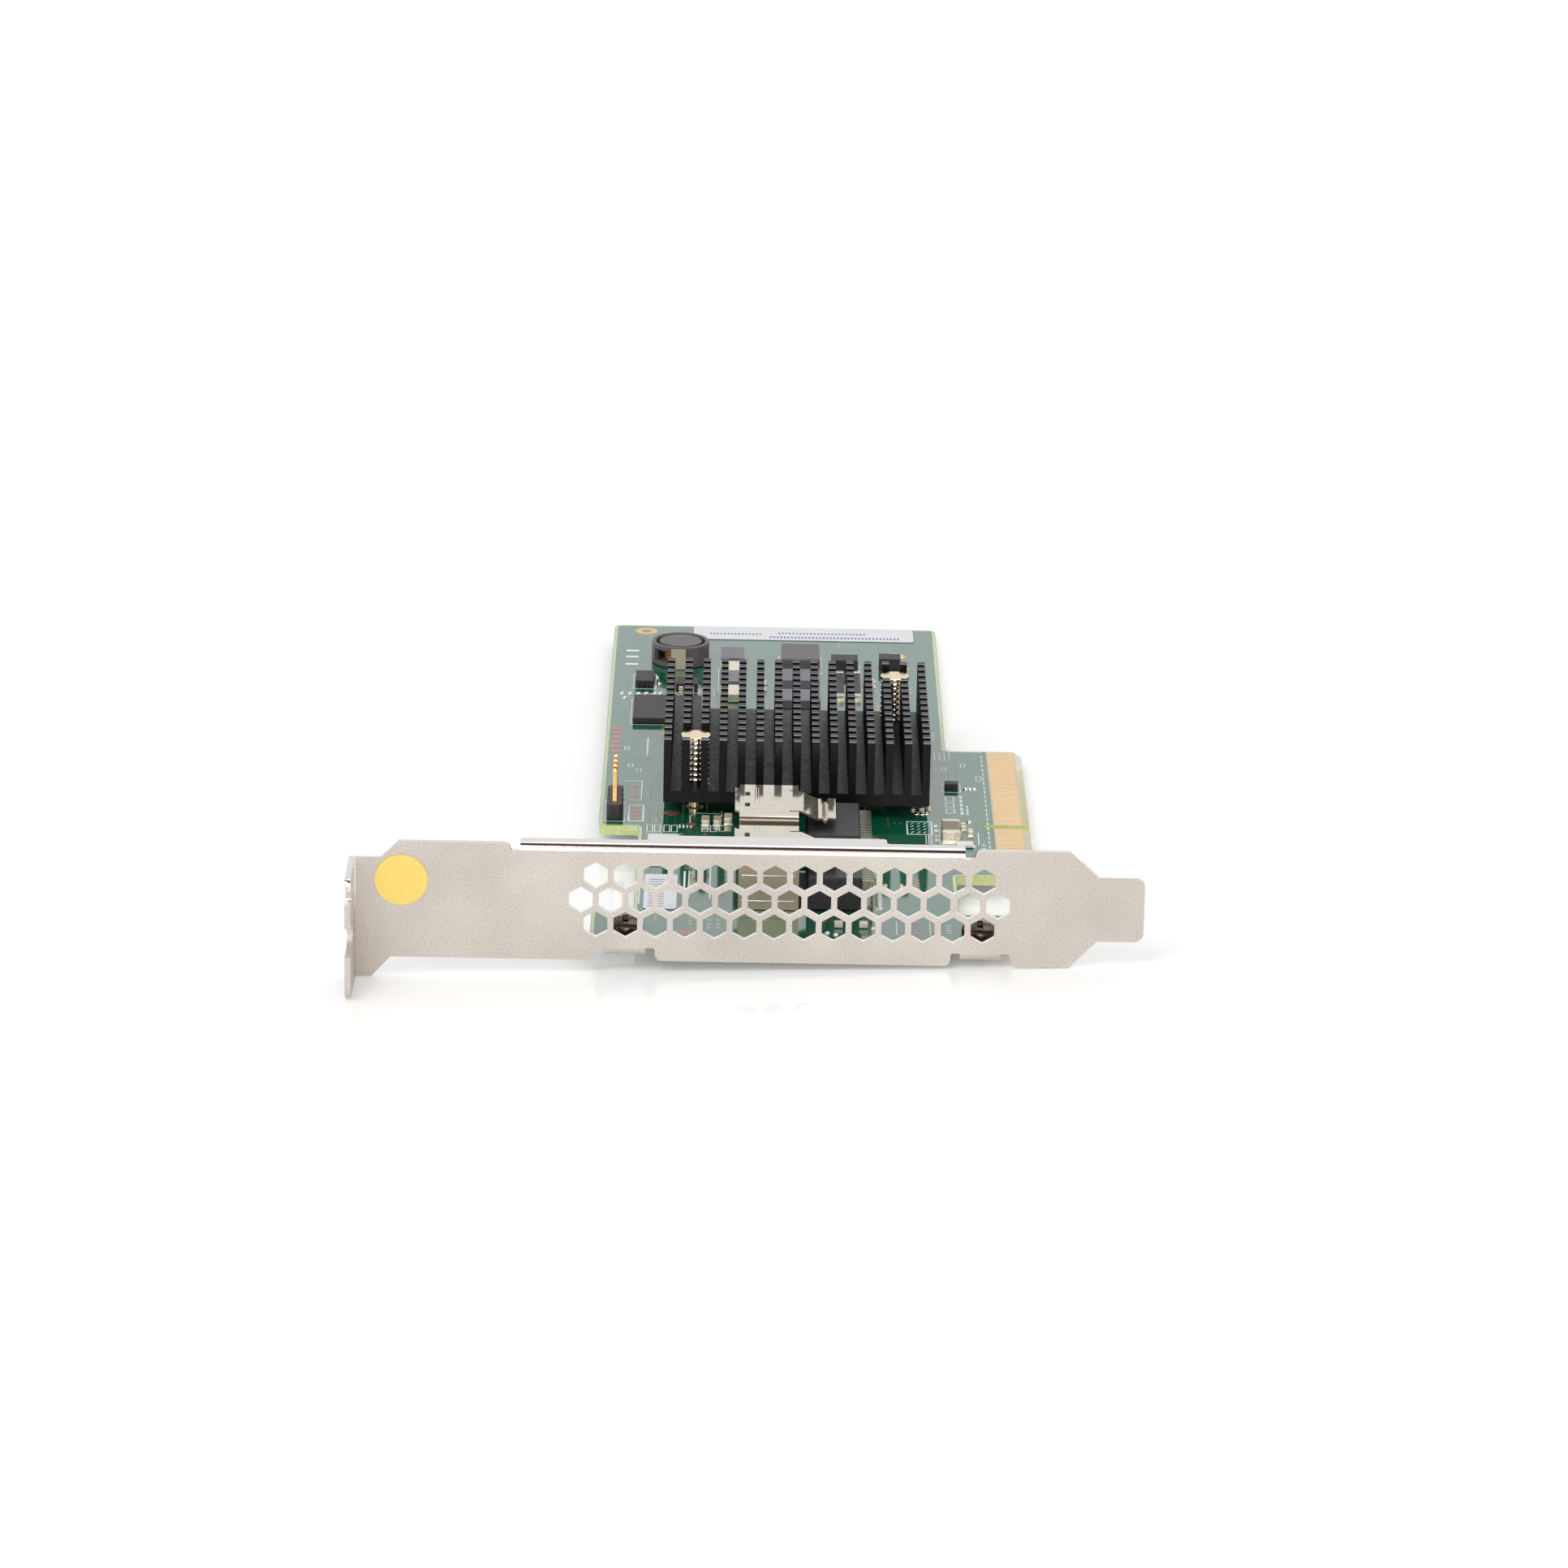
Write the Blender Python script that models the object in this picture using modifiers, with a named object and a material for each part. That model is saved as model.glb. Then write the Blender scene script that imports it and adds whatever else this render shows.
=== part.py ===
# Host bus adapter: an x8 storage card on a full-height bracket.
# A folded bracket with a hexagonal grille carries a printed circuit board by two tabs and screws.
# On the board stand two right-angle cable ports, a cross-cut pin heatsink held by two sprung
# push pins over the controller chip, a pin header, a drum inductor and smaller power parts.
#
# Sizes are in millimetres. X runs along the bracket from the mounting tab's outer face, Y runs
# back from the bracket's front face along the board, and Z rises from the bracket body's lower
# edge. The helpers turn millimetres into metres and move the origin to the middle of the
# object's footprint, at its lowest point.

import math

import bmesh
import bpy
from mathutils import Matrix, Vector

MM = 0.001
# Clearance between pieces that seat on each other
SEAT = 0.1
# Clearance under a label
GLUE = 0.05
# A slot's end corners take nearly half its width, so that they stay apart by a short flat
END_ROUND_SHARE = 0.98
# Degrees in a right-angled fold
QUARTER_TURN = 90.0
# Corners closer than this are one corner
WELD_DISTANCE = 0.002
# How far a cutter reaches past what it cuts
CUTTER_CLEAR = 1.0
# Flats round holes and turned pieces, and degrees between the points of a rounded corner
HOLE_FLATS = 16
SCREW_FLATS = 16
PUSH_PIN_FLATS = 16
DRUM_FLATS = 24
SHIELD_FLATS = 28
STICKER_FLATS = 28
CORNER_STEP = 22.5
BOARD_CORNER_STEP = 30.0
LABEL_CORNER_STEP = 45.0

# Bracket sheet and its folds
SHEET = 0.86
BEND_RADIUS = 0.87
BEND_STEPS = 5
BRACKET_LENGTH = 120.02
BODY_WIDTH = 18.42
BODY_END = 108.8
NECK_DROP = 3.17
NECK_WIDTH = 19.05
NECK_TOP_END = 4.79
NECK_TOP_RISE_END = 7.33
NECK_LOW_END = 3.32
NECK_LOW_RISE_END = 6.24
TONGUE_START = 113.0
TONGUE_LOW = 4.32
TONGUE_WIDTH = 10.18
TONGUE_ROUND = 1.4
BODY_ROUND = 1.0

# Mounting tab that takes the chassis screw; the slot is measured from its lower end and the notch
# from its upper end
TAB_BEND_RADIUS = 0.5
TAB_REACH = 11.43
TAB_LOW_ROUND = 2.2
TAB_TOP_ROUND = 1.0
SCREW_SLOT_WIDTH = 4.42
SCREW_SLOT_DEPTH = 6.2
SCREW_SLOT_RISE = 9.1
SCREW_SLOT_MOUTH_ROUND = 0.3
LOCATING_NOTCH_WIDTH = 2.3
LOCATING_NOTCH_DEPTH = 2.4
LOCATING_NOTCH_DROP = 2.85
LOCATING_NOTCH_ROUND = 0.4

# Grille of hexagons standing on a corner: its rows fill the height between two margins
HEX_WEB = 0.9
HEX_ROWS = (14, 15, 14)
GRILLE_CENTRE_X = 66.43
GRILLE_MARGIN_LOW = 3.634
GRILLE_MARGIN_TOP = 2.835

# Stiffening flange along the bracket's upper edge; its end is measured from the body's end
FLANGE_START = 25.75
FLANGE_END_INSET = 16.0
FLANGE_REACH = 2.65
FLANGE_ROUND = 0.6
SHELF_START = 45.1
SHELF_END = 81.0
SHELF_REACH = 4.95
RELIEF_WIDTH = 1.45
RELIEF_ROUND = 0.5

# Two lower tabs that carry the board
BOARD_TAB_WIDTH = 6.2
BOARD_TAB_CENTRES = (41.65, 95.45)
BOARD_TAB_REACH = 8.6
BOARD_TAB_ROUND = 1.2
BOARD_SCREW_Y = 4.9
TAB_HOLE = 3.1

# Printed circuit board
BOARD_THICKNESS = 1.57
BOARD_UNDERSIDE = 1.7
BOARD_LEFT = 36.26
BOARD_RIGHT = 92.65
BOARD_NEAR = 1.75
BOARD_FAR = 167.65
BOARD_ROUND = 1.4
LEFT_NOTCH_DEPTH = 6.39
LEFT_NOTCH_NEAR = 13.5
LEFT_NOTCH_FAR = 54.95
RIGHT_LOBE_EDGE = 101.0
RIGHT_NOTCH_NEAR = 14.6
RIGHT_NOTCH_FAR = 33.1
NOTCH_ROUND = 1.0
BOARD_SCREW_HOLE = 3.3

# Edge connector: tongue, key slot and gold contacts
EDGE_OUT = 105.16
EDGE_SHOULDER = 101.2
KEY_Y = 57.76
KEY_WIDTH = 1.9
KEY_DEPTH = 7.5
CONTACT_PITCH = 1.0
CONTACT_WIDTH = 0.7
CONTACT_LENGTH = 4.25
CONTACT_RECESS = 1.3
CONTACT_THICKNESS = 0.06
CONTACT_ROOT = 0.1
CONTACTS_BEFORE_KEY = 11
CONTACTS_AFTER_KEY = 38
KEY_TO_CONTACT = 1.5
CONTACT_TO_END = 1.1
EDGE_BEVEL_LENGTH = 1.1
EDGE_BEVEL_DEPTH = 0.4
EDGE_ROUND = 0.6
EDGE_END_CHAMFER = 1.5

# Heatsink: base plate and a field of square pins
SINK_CENTRE_X = 67.75
SINK_CENTRE_Y = 82.64
SINK_UNDERSIDE_GAP = 2.4
SINK_BASE = 1.9
PIN_HEIGHT = 8.7
PIN_SIDE = 1.2
PIN_COUNT = 15
PIN_PITCH_X = 2.96
PIN_PITCH_Y = 3.12
PIN_ROOT = 0.4
PUSH_PIN_INSET = 1.5
SINK_PIN_HOLE = 2.5

# Push pins, turned brass, and their springs
PUSH_HEAD = 4.8
PUSH_HEAD_THICKNESS = 0.5
PUSH_HEAD_CHAMFER = 0.1
PUSH_HEAD_BELOW_PINS = 0.75
PUSH_HUB = 2.4
PUSH_HUB_HEIGHT = 0.4
PUSH_SHANK = 1.9
PUSH_BARB = 2.7
PUSH_BARB_HEIGHT = 1.1
PUSH_BARB_LAND = 0.3
PUSH_TIP = 1.4
PUSH_HOLE = 3.0
SPRING_DIAMETER = 4.6
SPRING_WIRE = 0.5
SPRING_OPEN_TURNS = 6
SPRING_CLOSED_PITCH = 0.62
SPRING_POINTS_PER_TURN = 8

# Controller chip under the heatsink
SUBSTRATE_SIDE = 29.0
SUBSTRATE_HEIGHT = 1.1
LID_SIDE = 23.0
LID_HEIGHT = 0.75
LID_ROUND = 1.2
PAD_SIDE = 21.0

# Cable ports: folded cage, latch spring and insulator
CAGE_LEFT = 58.67
CAGE_LENGTH = 9.28
CAGE_WIDTH = 17.0
CAGE_HEIGHT = 8.3
CAGE_SHEET = 0.32
CAGE_BEND = 0.5
CAGE_BEND_STEPS = 3
PORT_PITCH = 20.5
FAR_PORT_Y = 43.9
LIP_LENGTH = 0.75
LIP_RISE = 0.25
LIP_WIDTH = 11.5
LATCH_WIDTH = 10.0
LATCH_SLIT = 0.4
LATCH_SLIT_DEPTH = 1.45
LATCH_PATH = ((0.25, 0.0), (0.8, -0.2), (3.1, -1.25), (3.6, -1.15), (4.2, -1.75), (4.75, -1.1), (5.85, -1.15))
WINDOW_WIDTH = 0.8
WINDOW_LENGTH = 1.85
WINDOW_OFFSETS = (-2.3, 3.2)
WINDOW_INSET = 1.25
HOUSING_GAP = 1.3
HOUSING_LENGTH = 8.45
HOUSING_HEIGHT = 5.4
HOUSING_ROUND = 0.25
INSULATOR_GAP = 0.2
INSULATOR_WALL = 1.3
INSULATOR_WALL_DROP = 0.9
INSULATOR_BRIDGE = 0.7
INSULATOR_BRIDGE_INSET = 0.5
INSULATOR_OVERLAP = 0.3
BLADE_THICKNESS = 1.0
BLADE_RISE = 2.2
BLADE_WIDTH = 12.6
BLADE_SETBACK = 1.8
LEAD_COUNT = 18
LEAD_PITCH = 0.8
LEAD_WIDTH = 0.36
LEAD_THICKNESS = 0.2
LEAD_REACH = 2.6
LEAD_RISE = 4.5
LEAD_SHOULDER = 1.8
LEAD_FOOT_START = 2.0
LEAD_SLOPE_INSET = 0.2
LEAD_ROOT = 0.3

# Four-pin header
HEADER_PITCH = 2.54
HEADER_PINS = 4
HEADER_X = 38.7
HEADER_Y = 62.75
HEADER_WIDTH = 2.5
HEADER_HEIGHT = 2.54
HEADER_CHAMFER = 0.45
HEADER_PIN_SIDE = 0.64
HEADER_PIN_TOP = 7.8
HEADER_PIN_POINT = 0.35
HEADER_PIN_TIP = 0.32

# Drum inductor with a shield ring at the far end
DRUM_X = 48.07
DRUM_Y = 146.2
DRUM_DIAMETER = 9.9
DRUM_HEIGHT = 3.7
SHIELD_WALL = 0.7
SHIELD_GAP = 0.35
DRUM_FLANGE = 0.8
DRUM_NECK = 3.6
WINDING_CLEAR = 0.15
WINDOW_CUT_WIDTH = 3.4
WINDOW_CUT_ANGLE = 228.0
STRAP_WIDTH = 2.5
STRAP_THICKNESS = 0.3
STRAP_DROP = 0.2
STRAP_OFFSET = 0.3

# Bracket screws
SCREW_HEAD = 5.6
SCREW_HEAD_HEIGHT = 1.9
SCREW_HEAD_RIM = 0.85
SCREW_SHANK = 2.85
SCREW_LENGTH = 2.9
SCREW_POINT = 0.3

# Gull-wing leads of the small outline chips
CHIP_LEAD_REACH = 0.8
CHIP_LEAD_SHOULDER = 0.3
CHIP_LEAD_ROOT = 0.2
CHIP_LEAD_THICKNESS = 0.15
CHIP_EDGE = 0.06

# Blocks that seat on the board: width, depth and height, then the middle's x and y
BLOCK_EDGE = 0.08
CHOKE_EDGE = 0.25
BLOCKS = {
    "flash_chip": ((11.45, 13.4, 0.95), (46.275, 116.2)),
    "power_choke_far": ((6.6, 9.5, 2.4), (68.8, 145.05)),
    "power_choke_middle": ((6.8, 6.8, 1.5), (68.6, 134.2)),
    "power_choke_near": ((6.9, 6.7, 1.6), (68.65, 122.25)),
    "voltage_regulator": ((4.6, 3.7, 2.1), (76.4, 142.85)),
    "switch_transistor": ((3.7, 3.4, 1.9), (84.25, 144.6)),
    "polymer_capacitor": ((3.7, 3.8, 1.45), (49.35, 129.8)),
    "tank_capacitor_far": ((4.0, 6.6, 1.3), (57.1, 147.3)),
    "tank_capacitor_middle": ((4.0, 12.0, 1.5), (57.1, 135.6)),
    "tank_capacitor_near": ((4.0, 5.8, 1.4), (57.1, 125.1)),
    "bulk_capacitor": ((2.75, 6.3, 1.9), (92.325, 52.05)),
    "jumper_block": ((2.7, 2.1, 0.5), (94.45, 47.55)),
    "filter_capacitor_left": ((1.2, 2.7, 0.7), (53.3, 57.25)),
    "filter_capacitor_middle": ((1.2, 2.7, 0.7), (55.2, 57.25)),
    "filter_capacitor_right": ((1.2, 2.7, 1.0), (56.9, 57.75)),
    "status_led_left": ((1.3, 1.6, 0.7), (74.05, 7.8)),
    "status_led_right": ((1.3, 1.6, 0.7), (77.85, 7.8)),
}

# Small outline chips: width, depth with the leads and height, then the middle's x and y
LEAD_CHIPS = {
    "memory_chip": ((3.1, 7.7, 1.0), (42.15, 133.75)),
    "small_regulator": ((2.2, 3.4, 0.9), (93.1, 77.3)),
}
CHIP_LEAD_COUNTS = {"memory_chip": 4, "small_regulator": 2}
CHIP_LEAD_WIDTHS = {"memory_chip": 0.42, "small_regulator": 0.5}

# Labels on the board: width and depth, then the middle's x and y
LABEL_THICKNESS = 0.1
LABEL_ROUND = 0.5
LABELS = {
    "label_near": ((5.1, 16.4), (46.65, 22.7)),
    "label_middle": ((5.0, 15.9), (46.7, 42.85)),
    "label_far": ((38.5, 7.4), (69.45, 163.3)),
}
STICKER_DIAMETER = 8.0
STICKER_X = 7.83
STICKER_Z = 12.32

# Sizes that follow from the ones above
BOARD_TOP = BOARD_UNDERSIDE + BOARD_THICKNESS
PART_FOOT = BOARD_TOP + SEAT
SHEET_MID = SHEET / 2
NECK_TOP = NECK_WIDTH - NECK_DROP
TAB_ROOT_X = SHEET_MID + TAB_BEND_RADIUS
FLANGE_ROOT_Z = BODY_WIDTH - SHEET_MID - BEND_RADIUS
FLANGE_END = BODY_END - FLANGE_END_INSET
BOARD_TAB_Z = BOARD_UNDERSIDE - SEAT - SHEET_MID
BOARD_TAB_ROOT_Z = BOARD_TAB_Z + BEND_RADIUS
# The grille's height is one hexagon's height, which is its flats over cos 30, and the rows' pitches
GRILLE_HEIGHT = BODY_WIDTH - GRILLE_MARGIN_LOW - GRILLE_MARGIN_TOP
GRILLE_CENTRE_Z = GRILLE_MARGIN_LOW + GRILLE_HEIGHT / 2
COS_30 = math.cos(math.pi / 6)
HEX_PITCH = (GRILLE_HEIGHT + HEX_WEB / COS_30) / ((len(HEX_ROWS) - 1) * COS_30 + 1 / COS_30)
HEX_FLATS = HEX_PITCH - HEX_WEB
EDGE_NEAR = KEY_Y - KEY_TO_CONTACT - (CONTACTS_BEFORE_KEY - 1) * CONTACT_PITCH - CONTACT_TO_END
EDGE_FAR = KEY_Y + KEY_TO_CONTACT + (CONTACTS_AFTER_KEY - 1) * CONTACT_PITCH + CONTACT_TO_END
SINK_WIDTH = (PIN_COUNT - 1) * PIN_PITCH_X + PIN_SIDE
SINK_DEPTH = (PIN_COUNT - 1) * PIN_PITCH_Y + PIN_SIDE
SINK_UNDERSIDE = BOARD_TOP + SINK_UNDERSIDE_GAP
SINK_BASE_TOP = SINK_UNDERSIDE + SINK_BASE
SINK_TOP = SINK_BASE_TOP + PIN_HEIGHT
PUSH_HEAD_TOP = SINK_TOP - PUSH_HEAD_BELOW_PINS
NEAR_PORT_Y = FAR_PORT_Y - PORT_PITCH

# Where the origin lies among the coordinates above: the middle of the footprint, at its lowest point
ORIGIN = Vector((BRACKET_LENGTH / 2, (BOARD_FAR - TAB_REACH) / 2, -NECK_DROP))


def place(x, y, z):
    return (Vector((x, y, z)) - ORIGIN) * MM


def clear_scene():
    for item in list(bpy.data.objects):
        bpy.data.objects.remove(item, do_unlink=True)


def make_collection(name, hidden=False):
    collection = bpy.data.collections.new(name)
    bpy.context.scene.collection.children.link(collection)
    collection.hide_render = hidden
    return collection


def make_material(name, colour, metallic, roughness):
    material = bpy.data.materials.new(name)
    material.use_nodes = True
    shader = material.node_tree.nodes["Principled BSDF"]
    shader.inputs["Base Color"].default_value = (*colour, 1.0)
    shader.inputs["Metallic"].default_value = metallic
    shader.inputs["Roughness"].default_value = roughness
    return material


clear_scene()
parts = make_collection("host_bus_adapter")
cutters = make_collection("cutters", hidden=True)

plated_steel = make_material("plated_steel", (0.66, 0.62, 0.57), 1.0, 0.42)
dark_steel = make_material("dark_steel", (0.05, 0.045, 0.04), 1.0, 0.3)
solder_mask = make_material("green_solder_mask", (0.01, 0.13, 0.08), 0.0, 0.25)
gold = make_material("gold_plating", (0.93, 0.56, 0.27), 1.0, 0.25)
anodised = make_material("black_anodised_aluminium", (0.02, 0.02, 0.022), 0.6, 0.4)
brass = make_material("brass", (0.9, 0.62, 0.28), 1.0, 0.22)
spring_steel = make_material("spring_steel", (0.75, 0.73, 0.7), 1.0, 0.2)
tin = make_material("tinned_steel", (0.72, 0.69, 0.64), 1.0, 0.2)
black_plastic = make_material("black_plastic", (0.02, 0.02, 0.022), 0.0, 0.45)
moulding = make_material("chip_moulding", (0.06, 0.06, 0.062), 0.0, 0.4)
laminate = make_material("chip_laminate", (0.02, 0.16, 0.08), 0.0, 0.4)
ferrite = make_material("grey_ferrite", (0.22, 0.21, 0.21), 0.1, 0.5)
copper = make_material("enamelled_copper", (0.7, 0.3, 0.1), 1.0, 0.3)
ceramic = make_material("cream_ceramic", (0.72, 0.66, 0.52), 0.0, 0.4)
white_paper = make_material("white_label", (0.8, 0.8, 0.8), 0.0, 0.5)
yellow_paper = make_material("yellow_label", (1.0, 0.73, 0.16), 0.0, 0.5)
thermal = make_material("thermal_compound", (0.45, 0.45, 0.47), 0.0, 0.7)


def add_object(name, mesh, location, material, collection=parts):
    piece = bpy.data.objects.new(name, mesh)
    piece.location = location
    if material is not None:
        mesh.materials.append(material)
    collection.objects.link(piece)
    return piece


def as_cutter(piece):
    for collection in list(piece.users_collection):
        collection.objects.unlink(piece)
    cutters.objects.link(piece)
    piece.hide_render = True
    piece.display_type = "WIRE"
    return piece


def boolean(piece, other, operation):
    modifier = piece.modifiers.new(operation.lower() + " " + other.name, "BOOLEAN")
    modifier.operation = operation
    modifier.object = as_cutter(other)
    modifier.solver = "EXACT"
    return piece


def bevel(piece, width, segments=2, angle=40.0):
    modifier = piece.modifiers.new("edges", "BEVEL")
    modifier.width = width * MM
    modifier.segments = segments
    modifier.limit_method = "ANGLE"
    modifier.angle_limit = math.radians(angle)
    return piece


def mesh_from(name, shape):
    bmesh.ops.recalc_face_normals(shape, faces=shape.faces)
    mesh = bpy.data.meshes.new(name)
    shape.to_mesh(mesh)
    shape.free()
    return mesh


# Several boxes in one mesh: each entry is a centre and a size, measured from the mesh's own origin
def boxes_mesh(name, entries):
    shape = bmesh.new()
    for centre, size in entries:
        matrix = Matrix.Translation(Vector(centre) * MM) @ Matrix.Diagonal((*(Vector(size) * MM), 1.0))
        bmesh.ops.create_cube(shape, size=1.0, matrix=matrix)
    return mesh_from(name, shape)


def box(name, size, centre, material, edge=0.0, segments=1):
    piece = add_object(name, boxes_mesh(name, [((0, 0, 0), size)]), place(*centre), material)
    if edge > 0:
        bevel(piece, edge, segments)
    return piece


# A chip or other block that seats on the board, from its size and its middle's x and y
def block(name, size, middle, edge, material):
    return box(name, size, (*middle, PART_FOOT + size[2] / 2), material, edge)


# An outline's corners as (x, y, radius): each corner with a radius becomes a tangent arc
def rounded(corners, step=CORNER_STEP):
    points = []
    count = len(corners)
    for index, (x, y, radius) in enumerate(corners):
        here = Vector((x, y))
        if radius <= 0:
            points.append(here)
            continue
        back = Vector(corners[index - 1][:2]) - here
        ahead = Vector(corners[(index + 1) % count][:2]) - here
        back.normalize()
        ahead.normalize()
        half = back.angle(ahead) / 2
        start = here + back * (radius / math.tan(half))
        centre = here + (back + ahead).normalized() * (radius / math.sin(half))
        sweep = math.pi - 2 * half
        turn = math.copysign(1.0, -(back.x * ahead.y - back.y * ahead.x))
        pieces = max(1, round(math.degrees(sweep) / step))
        spoke = start - centre
        for number in range(pieces + 1):
            points.append(centre + Matrix.Rotation(turn * sweep * number / pieces, 2) @ spoke)
    return points


def ring(x, y, diameter, segments=HOLE_FLATS, start=0.0):
    turns = [start + 2 * math.pi * number / segments for number in range(segments)]
    return [Vector((x + diameter / 2 * math.cos(turn), y + diameter / 2 * math.sin(turn))) for turn in turns]


# A flat 2D curve, filled between its loops and thickened about its own plane, as a mesh
def outline_mesh(name, loops, thickness):
    curve = bpy.data.curves.new(name, "CURVE")
    curve.dimensions = "2D"
    curve.fill_mode = "BOTH" if thickness > 0 else "FRONT"
    curve.extrude = thickness / 2 * MM
    for loop in loops:
        spline = curve.splines.new("POLY")
        spline.points.add(len(loop) - 1)
        for point, corner in zip(spline.points, loop):
            point.co = (corner[0] * MM, corner[1] * MM, 0.0, 1.0)
        spline.use_cyclic_u = True
    drawing = bpy.data.objects.new(name, curve)
    bpy.context.scene.collection.objects.link(drawing)
    bpy.context.view_layer.update()
    evaluated = drawing.evaluated_get(bpy.context.evaluated_depsgraph_get())
    mesh = bpy.data.meshes.new_from_object(evaluated)
    bpy.data.objects.remove(drawing, do_unlink=True)
    bpy.data.curves.remove(curve)
    shape = bmesh.new()
    shape.from_mesh(mesh)
    bmesh.ops.remove_doubles(shape, verts=shape.verts, dist=1e-7)
    # a flat's fill is evened out, as slivers along corners in line would spoil its thickness
    if thickness == 0:
        bmesh.ops.beautify_fill(shape, faces=shape.faces, edges=shape.edges, method="ANGLE")
    bpy.data.meshes.remove(mesh)
    return mesh_from(name, shape)


def slab(name, loops, thickness, centre, material):
    return add_object(name, outline_mesh(name, loops, thickness), place(*centre), material)


# A solid of revolution about Z from (radius, height) corners that run down the outer side
def turned(name, profile, centre, material, segments, closed=False):
    shape = bmesh.new()
    corners = [shape.verts.new((radius * MM, 0.0, height * MM)) for radius, height in profile]
    for first, second in zip(corners, corners[1:]):
        shape.edges.new((first, second))
    if closed:
        shape.edges.new((corners[-1], corners[0]))
    mesh = bpy.data.meshes.new(name)
    shape.to_mesh(mesh)
    shape.free()
    piece = add_object(name, mesh, place(*centre), material)
    modifier = piece.modifiers.new("turn", "SCREW")
    modifier.axis = "Z"
    modifier.steps = segments
    modifier.render_steps = segments
    modifier.use_merge_vertices = True
    modifier.merge_threshold = 0.00001
    modifier.use_smooth_shade = False
    return piece


# Folded sheet: flats drawn as outlines, joined along bends, then given their thickness
class FoldedSheet:
    def __init__(self):
        self.shape = bmesh.new()

    # Adds a flat whose outline plane is carried into place by the matrix
    def flat(self, loops, matrix):
        mesh = outline_mesh("flat", loops, 0.0)
        mesh.transform(matrix)
        self.shape.from_mesh(mesh)
        bpy.data.meshes.remove(mesh)
        self.weld()

    def weld(self):
        bmesh.ops.remove_doubles(self.shape, verts=self.shape.verts, dist=WELD_DISTANCE * MM)

    # The open edge between two corners, in millimetres from the sheet's own origin
    def edge_between(self, first, second):
        ends = [Vector(first) * MM, Vector(second) * MM]
        for edge in self.shape.edges:
            a, b = (vert.co for vert in edge.verts)
            direct = (a - ends[0]).length + (b - ends[1]).length
            crossed = (a - ends[1]).length + (b - ends[0]).length
            if edge.is_boundary and min(direct, crossed) < WELD_DISTANCE * MM:
                return edge
        raise ValueError("no edge between %s and %s" % (first, second))

    # Rolls an open edge round a bend line
    def bend(self, first, second, centre, axis, angle, steps=BEND_STEPS):
        edge = self.edge_between(first, second)
        bmesh.ops.spin(
            self.shape,
            geom=[edge, *edge.verts],
            cent=Vector(centre) * MM,
            axis=Vector(axis),
            angle=math.radians(angle),
            steps=steps,
        )
        self.weld()

    # Draws an open edge out along a chain of offsets from where it starts
    def draw(self, first, second, offsets):
        edge = self.edge_between(first, second)
        before = Vector((0.0, 0.0, 0.0))
        for offset in offsets:
            grown = bmesh.ops.extrude_edge_only(self.shape, edges=[edge])["geom"]
            corners = [item for item in grown if isinstance(item, bmesh.types.BMVert)]
            bmesh.ops.translate(self.shape, verts=corners, vec=(Vector(offset) - before) * MM)
            edge = next(item for item in grown if isinstance(item, bmesh.types.BMEdge)
                        and all(vert in corners for vert in item.verts))
            before = Vector(offset)

    def finish(self, name, location, thickness, material):
        piece = add_object(name, mesh_from(name, self.shape), location, material)
        modifier = piece.modifiers.new("thickness", "SOLIDIFY")
        modifier.thickness = thickness * MM
        modifier.offset = 0.0
        modifier.use_even_offset = True
        modifier.use_quality_normals = True
        return piece


# Bracket

def hexagon(x, z):
    return ring(x, z, HEX_FLATS / COS_30, 6, math.pi / 6)


def grille_hexagons():
    row_pitch = HEX_PITCH * COS_30
    middle = (len(HEX_ROWS) - 1) / 2
    for row, count in enumerate(HEX_ROWS):
        for number in range(count):
            x = GRILLE_CENTRE_X + (number - (count - 1) / 2) * HEX_PITCH
            yield hexagon(x, GRILLE_CENTRE_Z + (row - middle) * row_pitch)


def bracket_face_outline():
    tongue_top = TONGUE_LOW + TONGUE_WIDTH
    corners = [(TAB_ROOT_X, -NECK_DROP, 0), (NECK_LOW_END, -NECK_DROP, 0), (NECK_LOW_RISE_END, 0, 0)]
    for centre in BOARD_TAB_CENTRES:
        left = centre - BOARD_TAB_WIDTH / 2
        right = centre + BOARD_TAB_WIDTH / 2
        corners += [
            (left - RELIEF_WIDTH, 0, BODY_ROUND),
            (left - RELIEF_WIDTH, BOARD_TAB_ROOT_Z, RELIEF_ROUND),
            (left, BOARD_TAB_ROOT_Z, 0),
            (right, BOARD_TAB_ROOT_Z, 0),
            (right + RELIEF_WIDTH, BOARD_TAB_ROOT_Z, RELIEF_ROUND),
            (right + RELIEF_WIDTH, 0, BODY_ROUND),
        ]
    corners += [
        (BODY_END, 0, 0),
        (TONGUE_START, TONGUE_LOW, 0),
        (BRACKET_LENGTH, TONGUE_LOW, TONGUE_ROUND),
        (BRACKET_LENGTH, tongue_top, TONGUE_ROUND),
        (TONGUE_START, tongue_top, 0),
        (BODY_END, BODY_WIDTH, 0),
        (FLANGE_END + RELIEF_WIDTH, BODY_WIDTH, BODY_ROUND),
        (FLANGE_END + RELIEF_WIDTH, FLANGE_ROOT_Z, RELIEF_ROUND),
        (FLANGE_END, FLANGE_ROOT_Z, 0),
        (FLANGE_START, FLANGE_ROOT_Z, 0),
        (FLANGE_START - RELIEF_WIDTH, FLANGE_ROOT_Z, RELIEF_ROUND),
        (FLANGE_START - RELIEF_WIDTH, BODY_WIDTH, BODY_ROUND),
        (NECK_TOP_RISE_END, BODY_WIDTH, 0),
        (NECK_TOP_END, NECK_TOP, 0),
        (TAB_ROOT_X, NECK_TOP, 0),
    ]
    return rounded(corners)


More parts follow.
